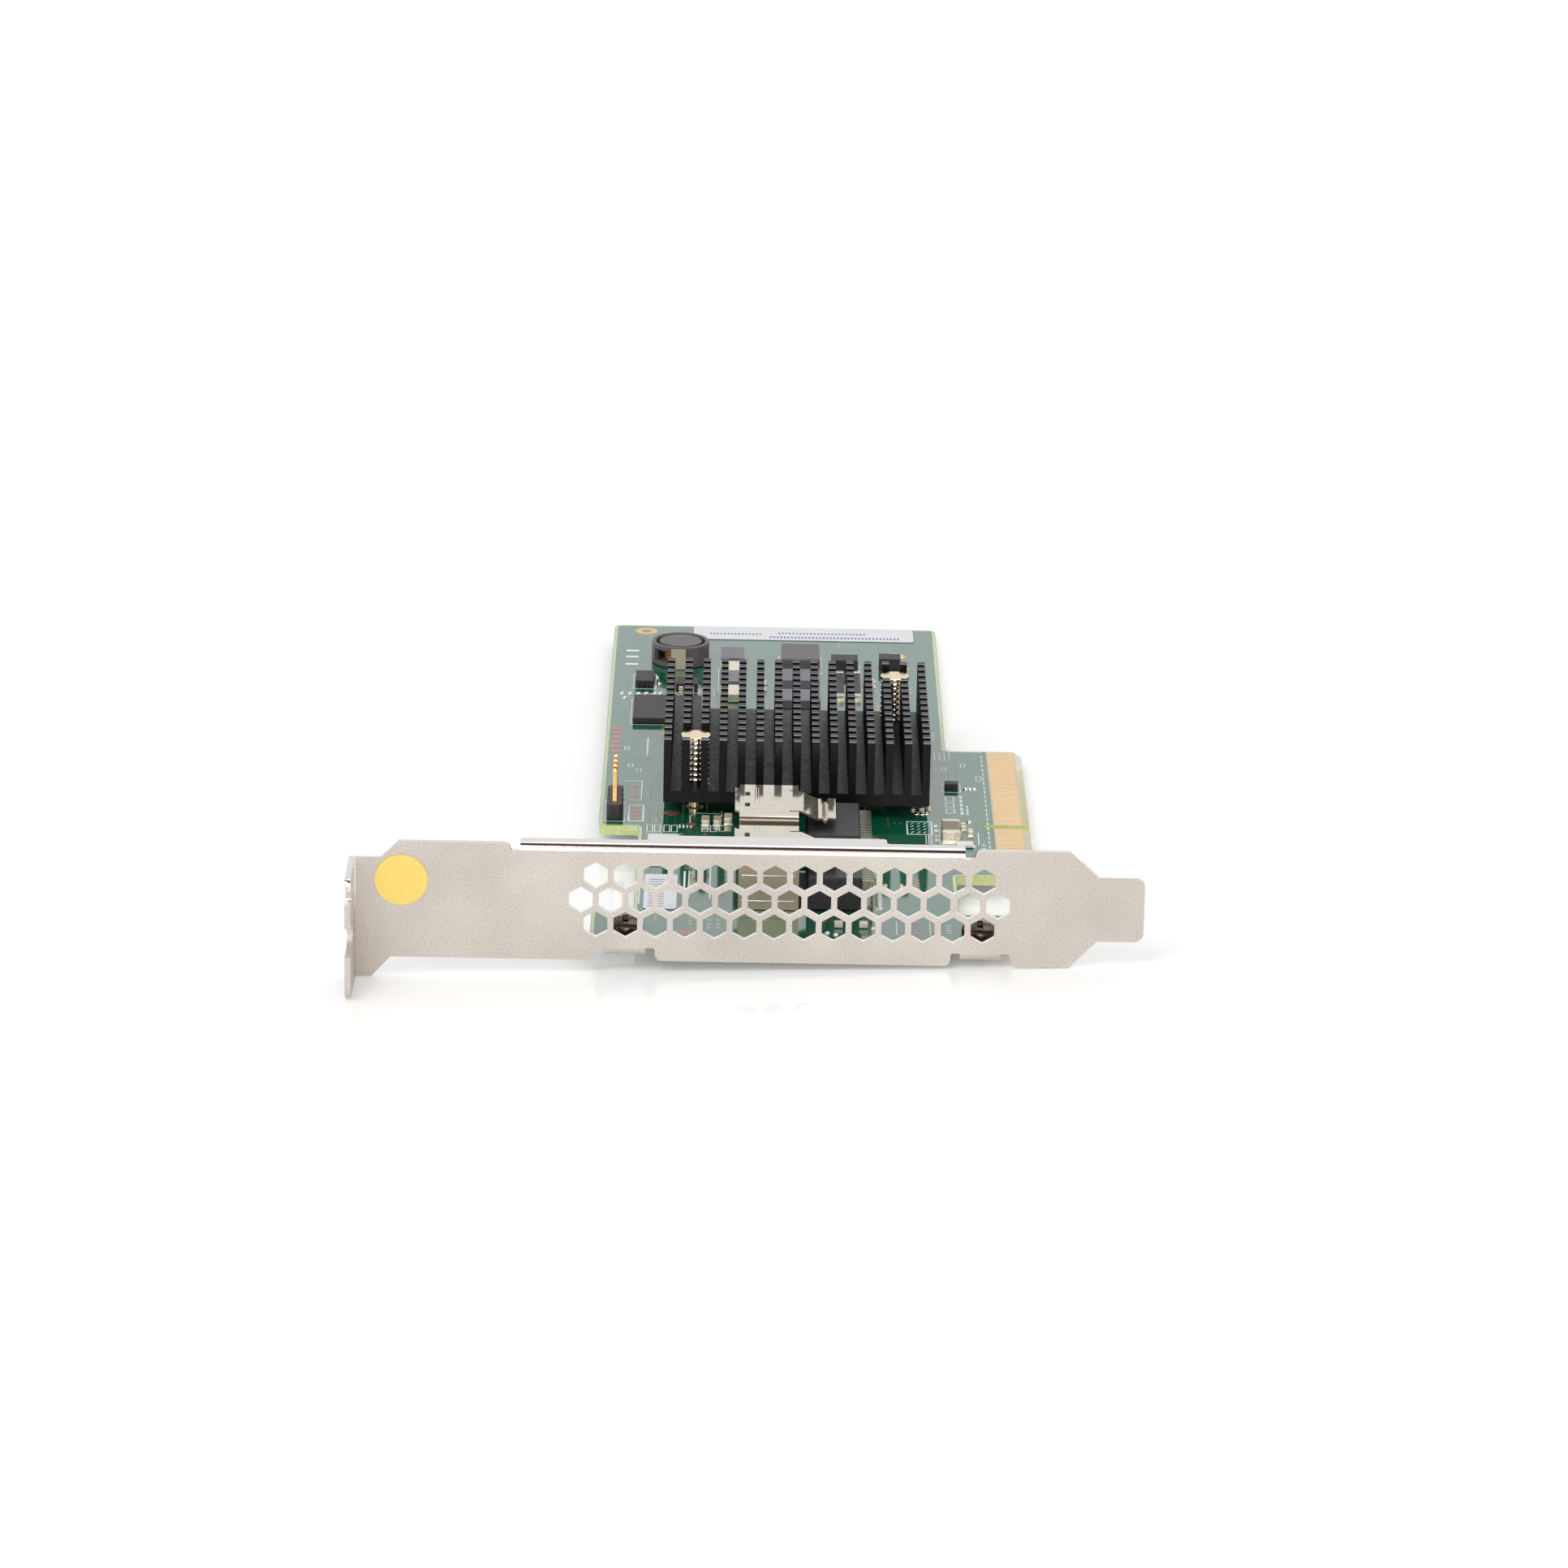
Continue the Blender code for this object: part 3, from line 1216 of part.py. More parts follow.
def make_labels():
    z = BOARD_TOP + GLUE + LABEL_THICKNESS / 2
    for name, ((width, depth), (x, y)) in LABELS.items():
        corners = rounded([
            (-width / 2, -depth / 2, LABEL_ROUND),
            (width / 2, -depth / 2, LABEL_ROUND),
            (width / 2, depth / 2, LABEL_ROUND),
            (-width / 2, depth / 2, LABEL_ROUND),
        ], step=LABEL_CORNER_STEP)
        slab(name, [corners], LABEL_THICKNESS, (x, y, z), white_paper)
    at = (STICKER_X, -GLUE - LABEL_THICKNESS / 2, STICKER_Z)
    disc = ring(0, 0, STICKER_DIAMETER, STICKER_FLATS)
    sticker = slab("round_sticker", [disc], LABEL_THICKNESS, at, yellow_paper)
    sticker.rotation_euler = (math.pi / 2, 0, 0)


make_blocks()
make_labels()
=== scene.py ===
# Host bus adapter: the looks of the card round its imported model.
# Lengths are in millimetres in the card's own coordinates: x runs along the bracket from the mounting
# tab's outer face, y runs back along the board from the bracket's front, z rises from the bracket's
# lower edge. Points are turned into the frame's metres when a mesh is made.
import math
from functools import partial

import bpy
import numpy as np
from mathutils import Matrix, Vector


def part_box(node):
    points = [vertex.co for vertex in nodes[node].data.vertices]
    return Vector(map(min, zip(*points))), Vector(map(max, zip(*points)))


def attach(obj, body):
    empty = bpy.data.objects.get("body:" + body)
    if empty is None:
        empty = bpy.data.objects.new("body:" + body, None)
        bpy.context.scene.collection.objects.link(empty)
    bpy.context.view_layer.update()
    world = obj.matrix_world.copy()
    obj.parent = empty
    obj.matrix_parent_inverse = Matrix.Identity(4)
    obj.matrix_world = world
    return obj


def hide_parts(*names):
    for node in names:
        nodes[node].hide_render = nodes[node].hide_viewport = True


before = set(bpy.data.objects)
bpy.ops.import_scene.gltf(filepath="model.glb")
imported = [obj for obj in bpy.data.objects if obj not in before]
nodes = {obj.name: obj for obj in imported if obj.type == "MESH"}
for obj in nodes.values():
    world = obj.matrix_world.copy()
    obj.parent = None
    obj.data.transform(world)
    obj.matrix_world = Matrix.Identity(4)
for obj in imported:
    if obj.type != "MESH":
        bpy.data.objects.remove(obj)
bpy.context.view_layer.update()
millimetre = 0.001

# Where the card's own coordinates start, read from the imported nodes
tabReach = 11.43
neckDrop = 3.17
contactRise = 0.06
datum = np.array(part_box("bracket")[0]) + np.array([0, tabReach, neckDrop]) * millimetre
boardLow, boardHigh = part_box("circuit_board")
boardTop = (boardHigh.z - datum[2]) / millimetre - contactRise
boardUnder = (boardLow.z - datum[2]) / millimetre + contactRise
print("frame loaded:", len(nodes), "nodes")


# A node's lowest and highest corner in the card's own millimetres
def cardBox(name):
    low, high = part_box(name)
    return (np.array(low) - datum) / millimetre, (np.array(high) - datum) / millimetre


# Colours and materials

# One channel of an sRGB colour follows a straight line near black and a power of 2.4 above it
def linearColour(hexValue):
    channels = np.array([int(hexValue[i:i + 2], 16) for i in (1, 3, 5)]) / 255
    linear = np.where(channels <= 0.04045, channels / 12.92, ((channels + 0.055) / 1.055) ** 2.4)
    return (*linear.tolist(), 1.0)


# Sets a node's properties and inputs; an input takes a number, a hex colour or another node's output
def fill(node, entries):
    for key, value in entries.items():
        if isinstance(value, bpy.types.NodeSocket):
            node.id_data.links.new(value, node.inputs[key])
        elif isinstance(key, int) or key in node.inputs:
            node.inputs[key].default_value = linearColour(value) if isinstance(value, str) else value
        else:
            setattr(node, key, value)
    return node


# Adds a node and gives one of its outputs. A Mix node has its numbers in inputs 2 and 3 and output 0,
# and its colours in inputs 6 and 7 and output 2. A Map Range node holds its input between 1 and 2.
def addNode(tree, kind, entries=None, output=0):
    return fill(tree.nodes.new("ShaderNode" + kind), entries or {}).outputs[output]


# A material with a Principled shader, the function that adds nodes to it, and its Object coordinates
def newMaterial(name):
    material = bpy.data.materials.new(name)
    material.use_nodes = True
    add = partial(addNode, material.node_tree)
    return material, material.node_tree.nodes["Principled BSDF"], add, add("TexCoord", output="Object")


# A surface point in the card's own millimetres
def cardPoint(add, position):
    return add("VectorMath", {"operation": "MULTIPLY_ADD", 0: position, 1: (1 / millimetre,) * 3,
                              2: (-datum / millimetre).tolist()})


# How far the surface faces along an axis, either way
def facing(add, axis):
    normal = add("NewGeometry", output="Normal")
    return add("Math", {"operation": "ABSOLUTE", 0: add("SeparateXYZ", {0: normal}, axis)})


# Lays another colour, and where it is given another roughness, over a finish where a mask is 1
def overlay(material, mask, colour, rough=None):
    shader, add = material.node_tree.nodes["Principled BSDF"], partial(addNode, material.node_tree)
    under = [shader.inputs[name].links[0].from_socket for name in ("Base Color", "Roughness")]
    fill(shader, {"Base Color": add("Mix", {"data_type": "RGBA", 0: mask, 6: under[0], 7: colour}, 2)})
    if rough is not None:
        fill(shader, {"Roughness": add("Mix", {0: mask, 2: under[1], 3: rough})})


# The stretch over which noise nearly always lies, and how much of a colour's blend is grain and cloud
noiseRange = {1: 0.35, 2: 0.65}
blendLook = {"lean": 0.5, "grain": 0.6, "cloud": 0.4, "cloudSize": 6.0}


# A finish with one grain and a coarser cloud: two shades of colour that lean to the light one, a spread
# of roughness and a little relief, whose real height is in millimetres
def grainedMaterial(name, look):
    material, shader, add, position = newMaterial(name)
    cloudSize = look.get("cloud", blendLook["cloudSize"])
    fine = add("TexNoise", {"Vector": position, "Scale": 1 / (look["grain"] * millimetre)})
    coarse = add("TexNoise", {"Vector": position, "Scale": 1 / (cloudSize * millimetre), "Detail": 1.0})
    mask = add("MapRange", {0: fine, **noiseRange})
    cloud = add("MapRange", {0: coarse, **noiseRange})
    blend = add("Math", {"operation": "MULTIPLY_ADD", 0: mask, 1: blendLook["grain"], 2: blendLook["lean"]})
    blend = add("Math", {"operation": "MULTIPLY_ADD", 0: cloud, 1: blendLook["cloud"], 2: blend})
    smooth, rough = look["roughness"]
    fill(shader, {
        "Metallic": look.get("metallic", 0.0), **look.get("sockets", {}),
        "Base Color": add("Mix", {"data_type": "RGBA", 0: blend, 6: look["dark"], 7: look["light"]}, 2),
        "Roughness": add("MapRange", {0: mask, 3: smooth, 4: rough}),
        "Normal": add("Bump", {"Height": fine, "Distance": look["relief"] * millimetre}),
    })
    return material


# Folded steel with nickel plating: satin on the face, a soft mirror on the upper folds and flanges. A painted
# highlight lies on those folds: a near-white colour for the white they mirror, fading in between two heights.
# The walls where the punch sheared the sheet carry a painted highlight too, frosted and near white. The walls
# lie inside the sheet's thickness and face along it; a fold is told by how far it faces along y.
bracketLook = {
    "face": "#C0B8AF", "faceLight": "#DDD5CD", "contrast": (0.4, 0.6), "grain": 0.22, "cloud": 14.0,
    "cloudShare": 0.25, "relief": 0.004, "roughness": (0.5, 0.6), "satinMetal": 0.72,
    "foldHighlight": "#F2EEEA", "burnishedRoughness": 0.11, "foldHighlightFrom": 7.0, "foldHighlightFull": 11.0,
    "fold": (0.98, 0.996), "shearedWallHighlight": "#FFFDFB", "shearedRoughness": 0.5, "shearedMetal": 0.0,
    "shearedTop": 16.9, "wallFacing": 0.2, "sheetMiddle": 0.43, "sheetReach": 0.38,
}


def makePlatedSteel():
    look = bracketLook
    material, shader, add, position = newMaterial("satinNickelPlatedSteel")
    axes = add("SeparateXYZ", {0: cardPoint(add, position)}).node.outputs
    fine = add("TexNoise", {"Vector": position, "Scale": 1 / (look["grain"] * millimetre), "Detail": 3.0})
    coarse = add("TexNoise", {"Vector": position, "Scale": 1 / (look["cloud"] * millimetre)})
    cloud = add("Math", {"operation": "MULTIPLY", 0: coarse, 1: look["cloudShare"]})
    joined = add("Math", {"operation": "MULTIPLY_ADD", 0: fine, 1: 1 - look["cloudShare"], 2: cloud})
    mottled = add("MapRange", {0: joined, 1: look["contrast"][0], 2: look["contrast"][1]})
    face = add("Mix", {"data_type": "RGBA", 0: mottled, 6: look["face"], 7: look["faceLight"]}, 2)
    across = facing(add, "Y")
    # Painted highlight on the sheared walls: walls inside the sheet's thickness, below a height, are painted
    # near white and lose their metal
    along = add("Math", {"operation": "LESS_THAN", 0: across, 1: look["wallFacing"]})
    inside = add("Math", {"operation": "COMPARE", 0: axes["Y"], 1: look["sheetMiddle"],
                          2: look["sheetReach"]})
    below = add("Math", {"operation": "LESS_THAN", 0: axes["Z"], 1: look["shearedTop"]})
    wall = add("Math", {"operation": "MULTIPLY", 0: along, 1: inside})
    shearedWallHighlight = add("Math", {"operation": "MULTIPLY", 0: wall, 1: below})
    # Painted highlight on the folds: a height band times the fold mask blends the colour to near white; the
    # same mask raises the metal and lowers the roughness
    upper = add("MapRange", {0: axes["Z"], 1: look["foldHighlightFrom"], 2: look["foldHighlightFull"]})
    turned = add("MapRange", {0: across, 1: look["fold"][0], 2: look["fold"][1], 3: 1.0, 4: 0.0})
    folded = add("Math", {"operation": "MULTIPLY", 0: turned, 1: upper})
    face = add("Mix", {"data_type": "RGBA", 0: folded, 6: face, 7: look["foldHighlight"]}, 2)
    metal = add("MapRange", {0: folded, 3: look["satinMetal"], 4: 1.0})
    wallMetal = add("MapRange", {0: shearedWallHighlight, 3: 1.0, 4: look["shearedMetal"]})
    satin = add("MapRange", {0: fine, **noiseRange, 3: look["roughness"][0], 4: look["roughness"][1]})
    rough = add("Mix", {0: folded, 2: satin, 3: look["burnishedRoughness"]})
    frost = add("Math", {"operation": "MULTIPLY", 0: shearedWallHighlight, 1: look["shearedRoughness"]})
    fill(shader, {
        "Base Color": add("Mix", {"data_type": "RGBA", 0: shearedWallHighlight, 6: face, 7: look["shearedWallHighlight"]}, 2),
        "Metallic": add("Math", {"operation": "MULTIPLY", 0: metal, 1: wallMetal}),
        "Roughness": add("Math", {"operation": "MAXIMUM", 0: rough, 1: frost}),
        "Normal": add("Bump", {"Height": fine, "Distance": look["relief"] * millimetre}),
    })
    return material


# Glossy green solder mask over copper and glass laminate: pale where it mirrors white, deep green where
# it mirrors something dark. Traces run along x in some patches and along y in others. Bare laminate
# shows on the side walls and on the tongue past the mask's end, and only the gold-plated contacts rise
# above the board's faces.
maskLook = {
    "deep": "#00402E", "copper": "#0A6448", "laminate": "#E6EDA8", "laminateDark": "#D0DA88",
    "gold": "#FFD095", "bareTongue": "#C8BE80", "tracePitch": 1.27, "traceEdge": (0.10, 0.14),
    "patch": 7.0, "crosswise": 0.45, "filled": 0.5, "weave": 0.5, "relief": 0.03, "maskEnd": 99.35,
    "wallFacing": (0.3, 0.6), "bevelFacing": (0.9, 0.98), "roughness": 0.09, "bareRoughness": 0.34,
    "coat": 1.0, "coatRoughness": 0.05, "ior": 1.5,
}


def makeSolderMask():
    look = maskLook
    material, shader, add, position = newMaterial("greenSolderMaskOnGlassLaminate")
    card = cardPoint(add, position)
    axes = add("SeparateXYZ", {0: card}).node.outputs
    patches = {"distance": "CHEBYCHEV", "Vector": card, "Scale": 1 / look["patch"]}
    pick = add("SeparateColor", {0: add("TexVoronoi", patches, "Color")}).node.outputs
    turned = add("Math", {"operation": "GREATER_THAN", 0: pick[0], 1: look["crosswise"]})
    across = add("Mix", {0: turned, 2: axes["X"], 3: axes["Y"]})
    wave = add("Math", {"operation": "PINGPONG", 0: across, 1: look["tracePitch"] / 2})
    trace = add("MapRange", {0: wave, 1: look["traceEdge"][0], 2: look["traceEdge"][1]})
    filled = add("Math", {"operation": "GREATER_THAN", 0: pick[1], 1: look["filled"]})
    copper = add("Math", {"operation": "MAXIMUM", 0: trace, 1: filled})
    green = add("Mix", {"data_type": "RGBA", 0: copper, 6: look["deep"], 7: look["copper"]}, 2)
    upright = facing(add, "Z")
    wall, bevel = (add("MapRange", {0: upright, 1: look[name][0], 2: look[name][1], 3: 1.0, 4: 0.0})
                   for name in ("wallFacing", "bevelFacing"))
    glass = add("TexNoise", {"Vector": position, "Scale": 1 / (look["weave"] * millimetre)})
    weave = add("MapRange", {0: glass, **noiseRange})
    laminate = add("Mix", {"data_type": "RGBA", 0: weave, 6: look["laminateDark"], 7: look["laminate"]}, 2)
    tongue = add("Math", {"operation": "GREATER_THAN", 0: axes["X"], 1: look["maskEnd"]})
    surface = add("Mix", {"data_type": "RGBA", 0: tongue, 6: green, 7: look["bareTongue"]}, 2)
    surface = add("Mix", {"data_type": "RGBA", 0: bevel, 6: surface, 7: look["bareTongue"]}, 2)
    surface = add("Mix", {"data_type": "RGBA", 0: wall, 6: surface, 7: laminate}, 2)
    offset = add("Math", {"operation": "SUBTRACT", 0: axes["Z"], 1: (boardTop + boardUnder) / 2})
    away = add("Math", {"operation": "ABSOLUTE", 0: offset})
    contactFrom = (boardTop - boardUnder) / 2 + contactRise / 3
    gold = add("Math", {"operation": "GREATER_THAN", 0: away, 1: contactFrom})
    bare = add("Math", {"operation": "MAXIMUM", 0: wall, 1: tongue})
    fill(shader, {
        "Coat Weight": look["coat"], "Coat Roughness": look["coatRoughness"], "IOR": look["ior"],
        "Base Color": add("Mix", {"data_type": "RGBA", 0: gold, 6: surface, 7: look["gold"]}, 2),
        "Metallic": gold,
        "Roughness": add("MapRange", {0: bare, 3: look["roughness"], 4: look["bareRoughness"]}),
        "Normal": add("Bump", {"Height": copper, "Distance": look["relief"] * millimetre}),
    })
    return material


# The ports' insulator: moulded black nylon with a fine speckle, and its tinned leads past the block's
# rear face
housingLook = {"dark": "#121011", "light": "#312D30", "grain": 0.16, "cloud": 2.0, "roughness": (0.36, 0.58),
               "relief": 0.02, "leadStart": 77.74, "lead": "#B4B09A", "leadRoughness": 0.2}


def makeHousingFinish():
    look = housingLook
    material = grainedMaterial("mouldedNylonWithTinnedLeads", look)
    add = partial(addNode, material.node_tree)
    reach = add("SeparateXYZ", {0: cardPoint(add, add("TexCoord", output="Object"))}, "X")
    tinned = add("Math", {"operation": "GREATER_THAN", 0: reach, 1: look["leadStart"]})
    overlay(material, tinned, look["lead"], look["leadRoughness"])
    fill(material.node_tree.nodes["Principled BSDF"], {"Metallic": tinned})
    return material


# Milled aluminium, dyed black in the anodising bath: satin, with a painted highlight of grey lines on the
# near and far edges of the pins' tops, where the edges catch the light. A point's distance from the nearest
# row's middle is its y folded at half the pitch.
sinkLook = {
    "dark": "#070608", "light": "#131113", "grain": 0.5, "roughness": (0.3, 0.42), "relief": 0.006,
    "sockets": {"IOR": 1.45, "Specular IOR Level": 0.3},
    "edgeHighlight": "#A8A5AA", "edgeHighlightReach": 0.12, "pinHalf": 0.6, "pitch": 3.12,
}


def makeAnodised():
    look = sinkLook
    material = grainedMaterial("blackAnodisedAluminium", look)
    add = partial(addNode, material.node_tree)
    axes = add("SeparateXYZ", {0: cardPoint(add, add("TexCoord", output="Object"))}).node.outputs
    low, high = cardBox("heatsink")
    offset = add("Math", {"operation": "SUBTRACT", 0: axes["Y"], 1: (low[1] + high[1]) / 2})
    away = add("Math", {"operation": "PINGPONG", 0: offset, 1: look["pitch"] / 2})
    rim = add("Math", {"operation": "GREATER_THAN", 0: away, 1: look["pinHalf"] - look["edgeHighlightReach"]})
    crown = add("Math", {"operation": "GREATER_THAN", 0: axes["Z"], 1: high[2] - look["edgeHighlightReach"]})
    # painted highlight: grey on the pins' top edges that face along y
    overlay(material, add("Math", {"operation": "MULTIPLY", 0: rim, 1: crown}), look["edgeHighlight"])
    return material


# Tinned steel of the ports' cages: a mirror on the roof and the folds. The walls that face along y are
# rougher
# and painted a darker beige: a painted shade, as of walls in the bracket's shadow
cageTin = {"metallic": 0.9, "dark": "#C6B9A8", "light": "#EADFD0", "grain": 0.3, "cloud": 3.0,
           "roughness": (0.05, 0.1), "relief": 0.0002,
           "wall": "#A99E88", "wallRoughness": 0.34, "wallFacing": (0.9, 0.97)}


def makeTinnedCage():
    look = cageTin
    material = grainedMaterial("tinnedPortCage", look)
    add = partial(addNode, material.node_tree)
    # Painted shade: the walls that face along y get a darker beige as well as more roughness
    wall = add("MapRange", {0: facing(add, "Y"), 1: look["wallFacing"][0], 2: look["wallFacing"][1]})
    overlay(material, wall, look["wall"], look["wallRoughness"])
    return material


# Finishes that are one grain each; sizes of grain are in millimetres
finishes = {
    # turned and bright-dipped brass: a warm mirror with faint tool marks
    "turnedBrass": {"metallic": 1.0, "dark": "#F3C582", "light": "#FFE9C4", "grain": 0.6,
                    "roughness": (0.14, 0.26), "relief": 0.004},
    # drawn spring steel, nickel bright: sharp glints on every turn
    "brightSpringWire": {"metallic": 1.0, "dark": "#D8D6D2", "light": "#FFFFFF", "grain": 0.4,
                         "roughness": (0.06, 0.14), "relief": 0.002},
    # reflowed tin over folded steel: a clear mirror over a pale, finely mottled ground
    "brightTinnedSteel": {"metallic": 0.82, "dark": "#D6CCC0", "light": "#F4EDE4", "grain": 0.3, "cloud": 3.0,
                          "roughness": (0.04, 0.09), "relief": 0.0004},
    # glass-filled nylon, moulded: black with a fine speckle
    "mouldedBlackNylon": {"dark": "#141215", "light": "#38343A", "grain": 0.16, "cloud": 2.0,
                          "roughness": (0.36, 0.58), "relief": 0.02},
    # epoxy moulding of chip packages: a matt, sparked surface
    "sparkedEpoxyMoulding": {"dark": "#242224", "light": "#363235", "grain": 0.14, "cloud": 3.0,
                             "roughness": (0.42, 0.6), "relief": 0.012},
    # pressed and ground ferrite: mid grey, dull and grainy
    "groundFerrite": {"dark": "#4B4748", "light": "#6B6566", "grain": 0.3, "cloud": 2.5,
                      "roughness": (0.35, 0.55), "relief": 0.012},
    # enamelled copper wire: brown-red with soft glints
    "enamelledCopper": {"metallic": 1.0, "dark": "#8A4A22", "light": "#D79A5A", "grain": 0.8,
                        "roughness": (0.16, 0.3), "relief": 0.004},
    # fired ceramic of chip capacitors, cream to tan
    "firedCreamCeramic": {"dark": "#A8987C", "light": "#CDBFA4", "grain": 0.3,
                          "roughness": (0.28, 0.4), "relief": 0.006},
    # silvered terminals of ceramic chips, gone cream in the oven
    "creamTerminal": {"metallic": 0.5, "dark": "#CDBFA2", "light": "#EFE6CF", "grain": 0.3,
                      "roughness": (0.2, 0.34), "relief": 0.004},
    # glazed brown ceramic body of the big capacitor
    "brownGlazedCeramic": {"dark": "#4A3D2E", "light": "#7A6A52", "grain": 0.6,
                           "roughness": (0.12, 0.22), "relief": 0.004},
    # tin-plated terminals and solder: bright, rounded
    "brightSolder": {"metallic": 1.0, "dark": "#D9D6CE", "light": "#FBF9F4", "grain": 0.35,
                     "roughness": (0.12, 0.28), "relief": 0.01},
    # screen-printed epoxy ink: flat white
    "whiteScreenInk": {"dark": "#D6E2DE", "light": "#FCFFFE", "grain": 0.18,
                       "roughness": (0.45, 0.6), "relief": 0.006},
    # copper left under mask and flux: reddish brown
    "tarnishedCopperPad": {"metallic": 0.35, "dark": "#8A4B3A", "light": "#B9786A", "grain": 0.4,
                           "roughness": (0.22, 0.36), "relief": 0.004, "sockets": {"Coat Weight": 0.6}},
    # immersion gold on pads and header pins: deep yellow, softly bright
    "immersionGold": {"metallic": 1.0, "dark": "#E3A04E", "light": "#FFD08A", "grain": 0.5,
                      "roughness": (0.16, 0.26), "relief": 0.003},
    # coated label stock: smooth and cool white
    "whiteLabelStock": {"dark": "#DCDDE0", "light": "#EBECEF", "grain": 0.5,
                        "roughness": (0.35, 0.5), "relief": 0.004},
    # printed bars on the labels: greyed blue
    "labelInk": {"dark": "#5C6078", "light": "#8388A0", "grain": 0.3,
                 "roughness": (0.4, 0.5), "relief": 0.002},
    # yellow paper dot: matt and even
    "yellowDotPaper": {"dark": "#FFD968", "light": "#FFE176", "grain": 0.5, "cloud": 5.0,
                       "roughness": (0.5, 0.62), "relief": 0.006},
    # glass-epoxy laminate under mask without copper beneath: a pale yellow-green border
    "maskedLaminateMargin": {"dark": "#A4BE66", "light": "#C2D488", "grain": 0.5,
                             "roughness": (0.1, 0.18), "relief": 0.004, "sockets": {"Coat Weight": 1.0}},
    # black-plated screw steel: dark with a keen glint
    "blackPlatedSteel": {"metallic": 1.0, "dark": "#221D19", "light": "#544A41", "grain": 0.4,
                         "roughness": (0.1, 0.18), "relief": 0.002},
    # silicone pad between the chip and the heatsink: dull grey
    "siliconePad": {"dark": "#8C8C90", "light": "#9C9CA0", "grain": 0.4,
                    "roughness": (0.6, 0.75), "relief": 0.02},
    # package laminate: green under a thin clear coat
    "chipLaminate": {"dark": "#0B4A2A", "light": "#156239", "grain": 0.4, "roughness": (0.25, 0.4),
                     "relief": 0.006, "sockets": {"Coat Weight": 0.5}},
    # white moulded plastic and lamp lenses: warm white, half glossy
    "whiteMouldedPlastic": {"dark": "#DAD5D2", "light": "#F1ECE8", "grain": 0.3,
                            "roughness": (0.22, 0.34), "relief": 0.004},
    # grey-lilac moulding of small power parts
    "greyPowerMoulding": {"dark": "#5E5A62", "light": "#7D7782", "grain": 0.2,
                          "roughness": (0.35, 0.5), "relief": 0.01},
}
finish = {name: grainedMaterial(name, look) for name, look in finishes.items()}
for makeFinish in (makeHousingFinish, makeAnodised, makeTinnedCage, makePlatedSteel, makeSolderMask):
    made = makeFinish()
    finish[made.name] = made
print("materials made:", len(finish))


# Shapes worked out as arrays

# Quads between neighbouring rings of a grid; each ring is closed on itself
def ringQuads(rings, around):
    row, column = np.meshgrid(np.arange(rings - 1), np.arange(around), indexing="ij")
    nextColumn = (column + 1) % around
    quads = [row * around + column, row * around + nextColumn,
             (row + 1) * around + nextColumn, (row + 1) * around + column]
    return np.stack(quads, -1).reshape(-1, 4)


# A closed solid from a stack of rings: quads between them and one flat face at each end
def stackRings(rings):
    rings = np.asarray(rings, float)
    count, around = rings.shape[:2]
    caps = [np.arange(around)[::-1].tolist(), (np.arange(around) + (count - 1) * around).tolist()]
    return rings.reshape(-1, 3), ringQuads(count, around).tolist() + caps


# A tube without ends: the last ring joins the first
def closeLoop(rings):
    count, around = rings.shape[:2]
    quads = ringQuads(count + 1, around) % (count * around)
    return rings.reshape(-1, 3), quads.tolist()


# Copies of one shape at several places, all turned about z by an angle in degrees
def copies(shape, places, turn=0.0):
    points, faces = shape
    places = np.asarray(places, float).reshape(-1, 3)
    cosine, sine = math.cos(math.radians(turn)), math.sin(math.radians(turn))
    x = points[:, 0] * cosine - points[:, 1] * sine
    y = points[:, 0] * sine + points[:, 1] * cosine
    moved = np.stack([x, y, points[:, 2]], -1) + places[:, None]
    joined = [[index + number * len(points) for index in face]
              for number in range(len(places)) for face in faces]
    return moved.reshape(-1, 3), joined


# Several shapes as one
def gather(shapes):
    points, faces, start = [], [], 0
    for shapePoints, shapeFaces in shapes:
        points.append(shapePoints)
        faces += [[index + start for index in face] for face in shapeFaces]
        start += len(shapePoints)
    return np.concatenate(points), faces


# Puts a shape into the scene as a piece that rides on the card
def addPiece(name, shape, material, replaced=(), at=(0, 0, 0), smoothAngle=35.0):
    points, faces = shape
    mesh = bpy.data.meshes.new(name)
    mesh.from_pydata(((points + at) * millimetre + datum).tolist(), [], faces)
    mesh.materials.append(finish[material])
    mesh.update()
    mesh.shade_smooth()
    mesh.set_sharp_from_angle(angle=math.radians(smoothAngle))
    piece = bpy.data.objects.new(name, mesh)
    bpy.context.scene.collection.objects.link(piece)
    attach(piece, "root")
    if replaced:
        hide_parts(*replaced)


# A block with rounded corners and a rounded upper edge. Each ring is a rounded rectangle; its corner
# radius shrinks by the inset, which follows a quarter circle up the edge. Its foot is at z 0.
def pillow(width, depth, height, corner, edge, cornerSteps=3, edgeSteps=3, flare=0.0):
    quarter = np.linspace(0, np.pi / 2, cornerSteps + 1)
    angle = np.concatenate([quarter + turn * np.pi / 2 for turn in range(4)])
    signX = np.repeat([1, -1, -1, 1], cornerSteps + 1)
    signY = np.repeat([1, 1, -1, -1], cornerSteps + 1)
    lift = np.linspace(0, np.pi / 2, edgeSteps + 1)
    inset = np.concatenate([[-flare], edge * (1 - np.cos(lift))])
    level = np.concatenate([[0.0], height - edge + edge * np.sin(lift)])
    radius = np.maximum(corner - inset, 0.001)[:, None]
    x = signX * (width / 2 - corner) + radius * np.cos(angle)
    y = signY * (depth / 2 - corner) + radius * np.sin(angle)
    return stackRings(np.stack([x, y, np.broadcast_to(level[:, None], x.shape)], -1))


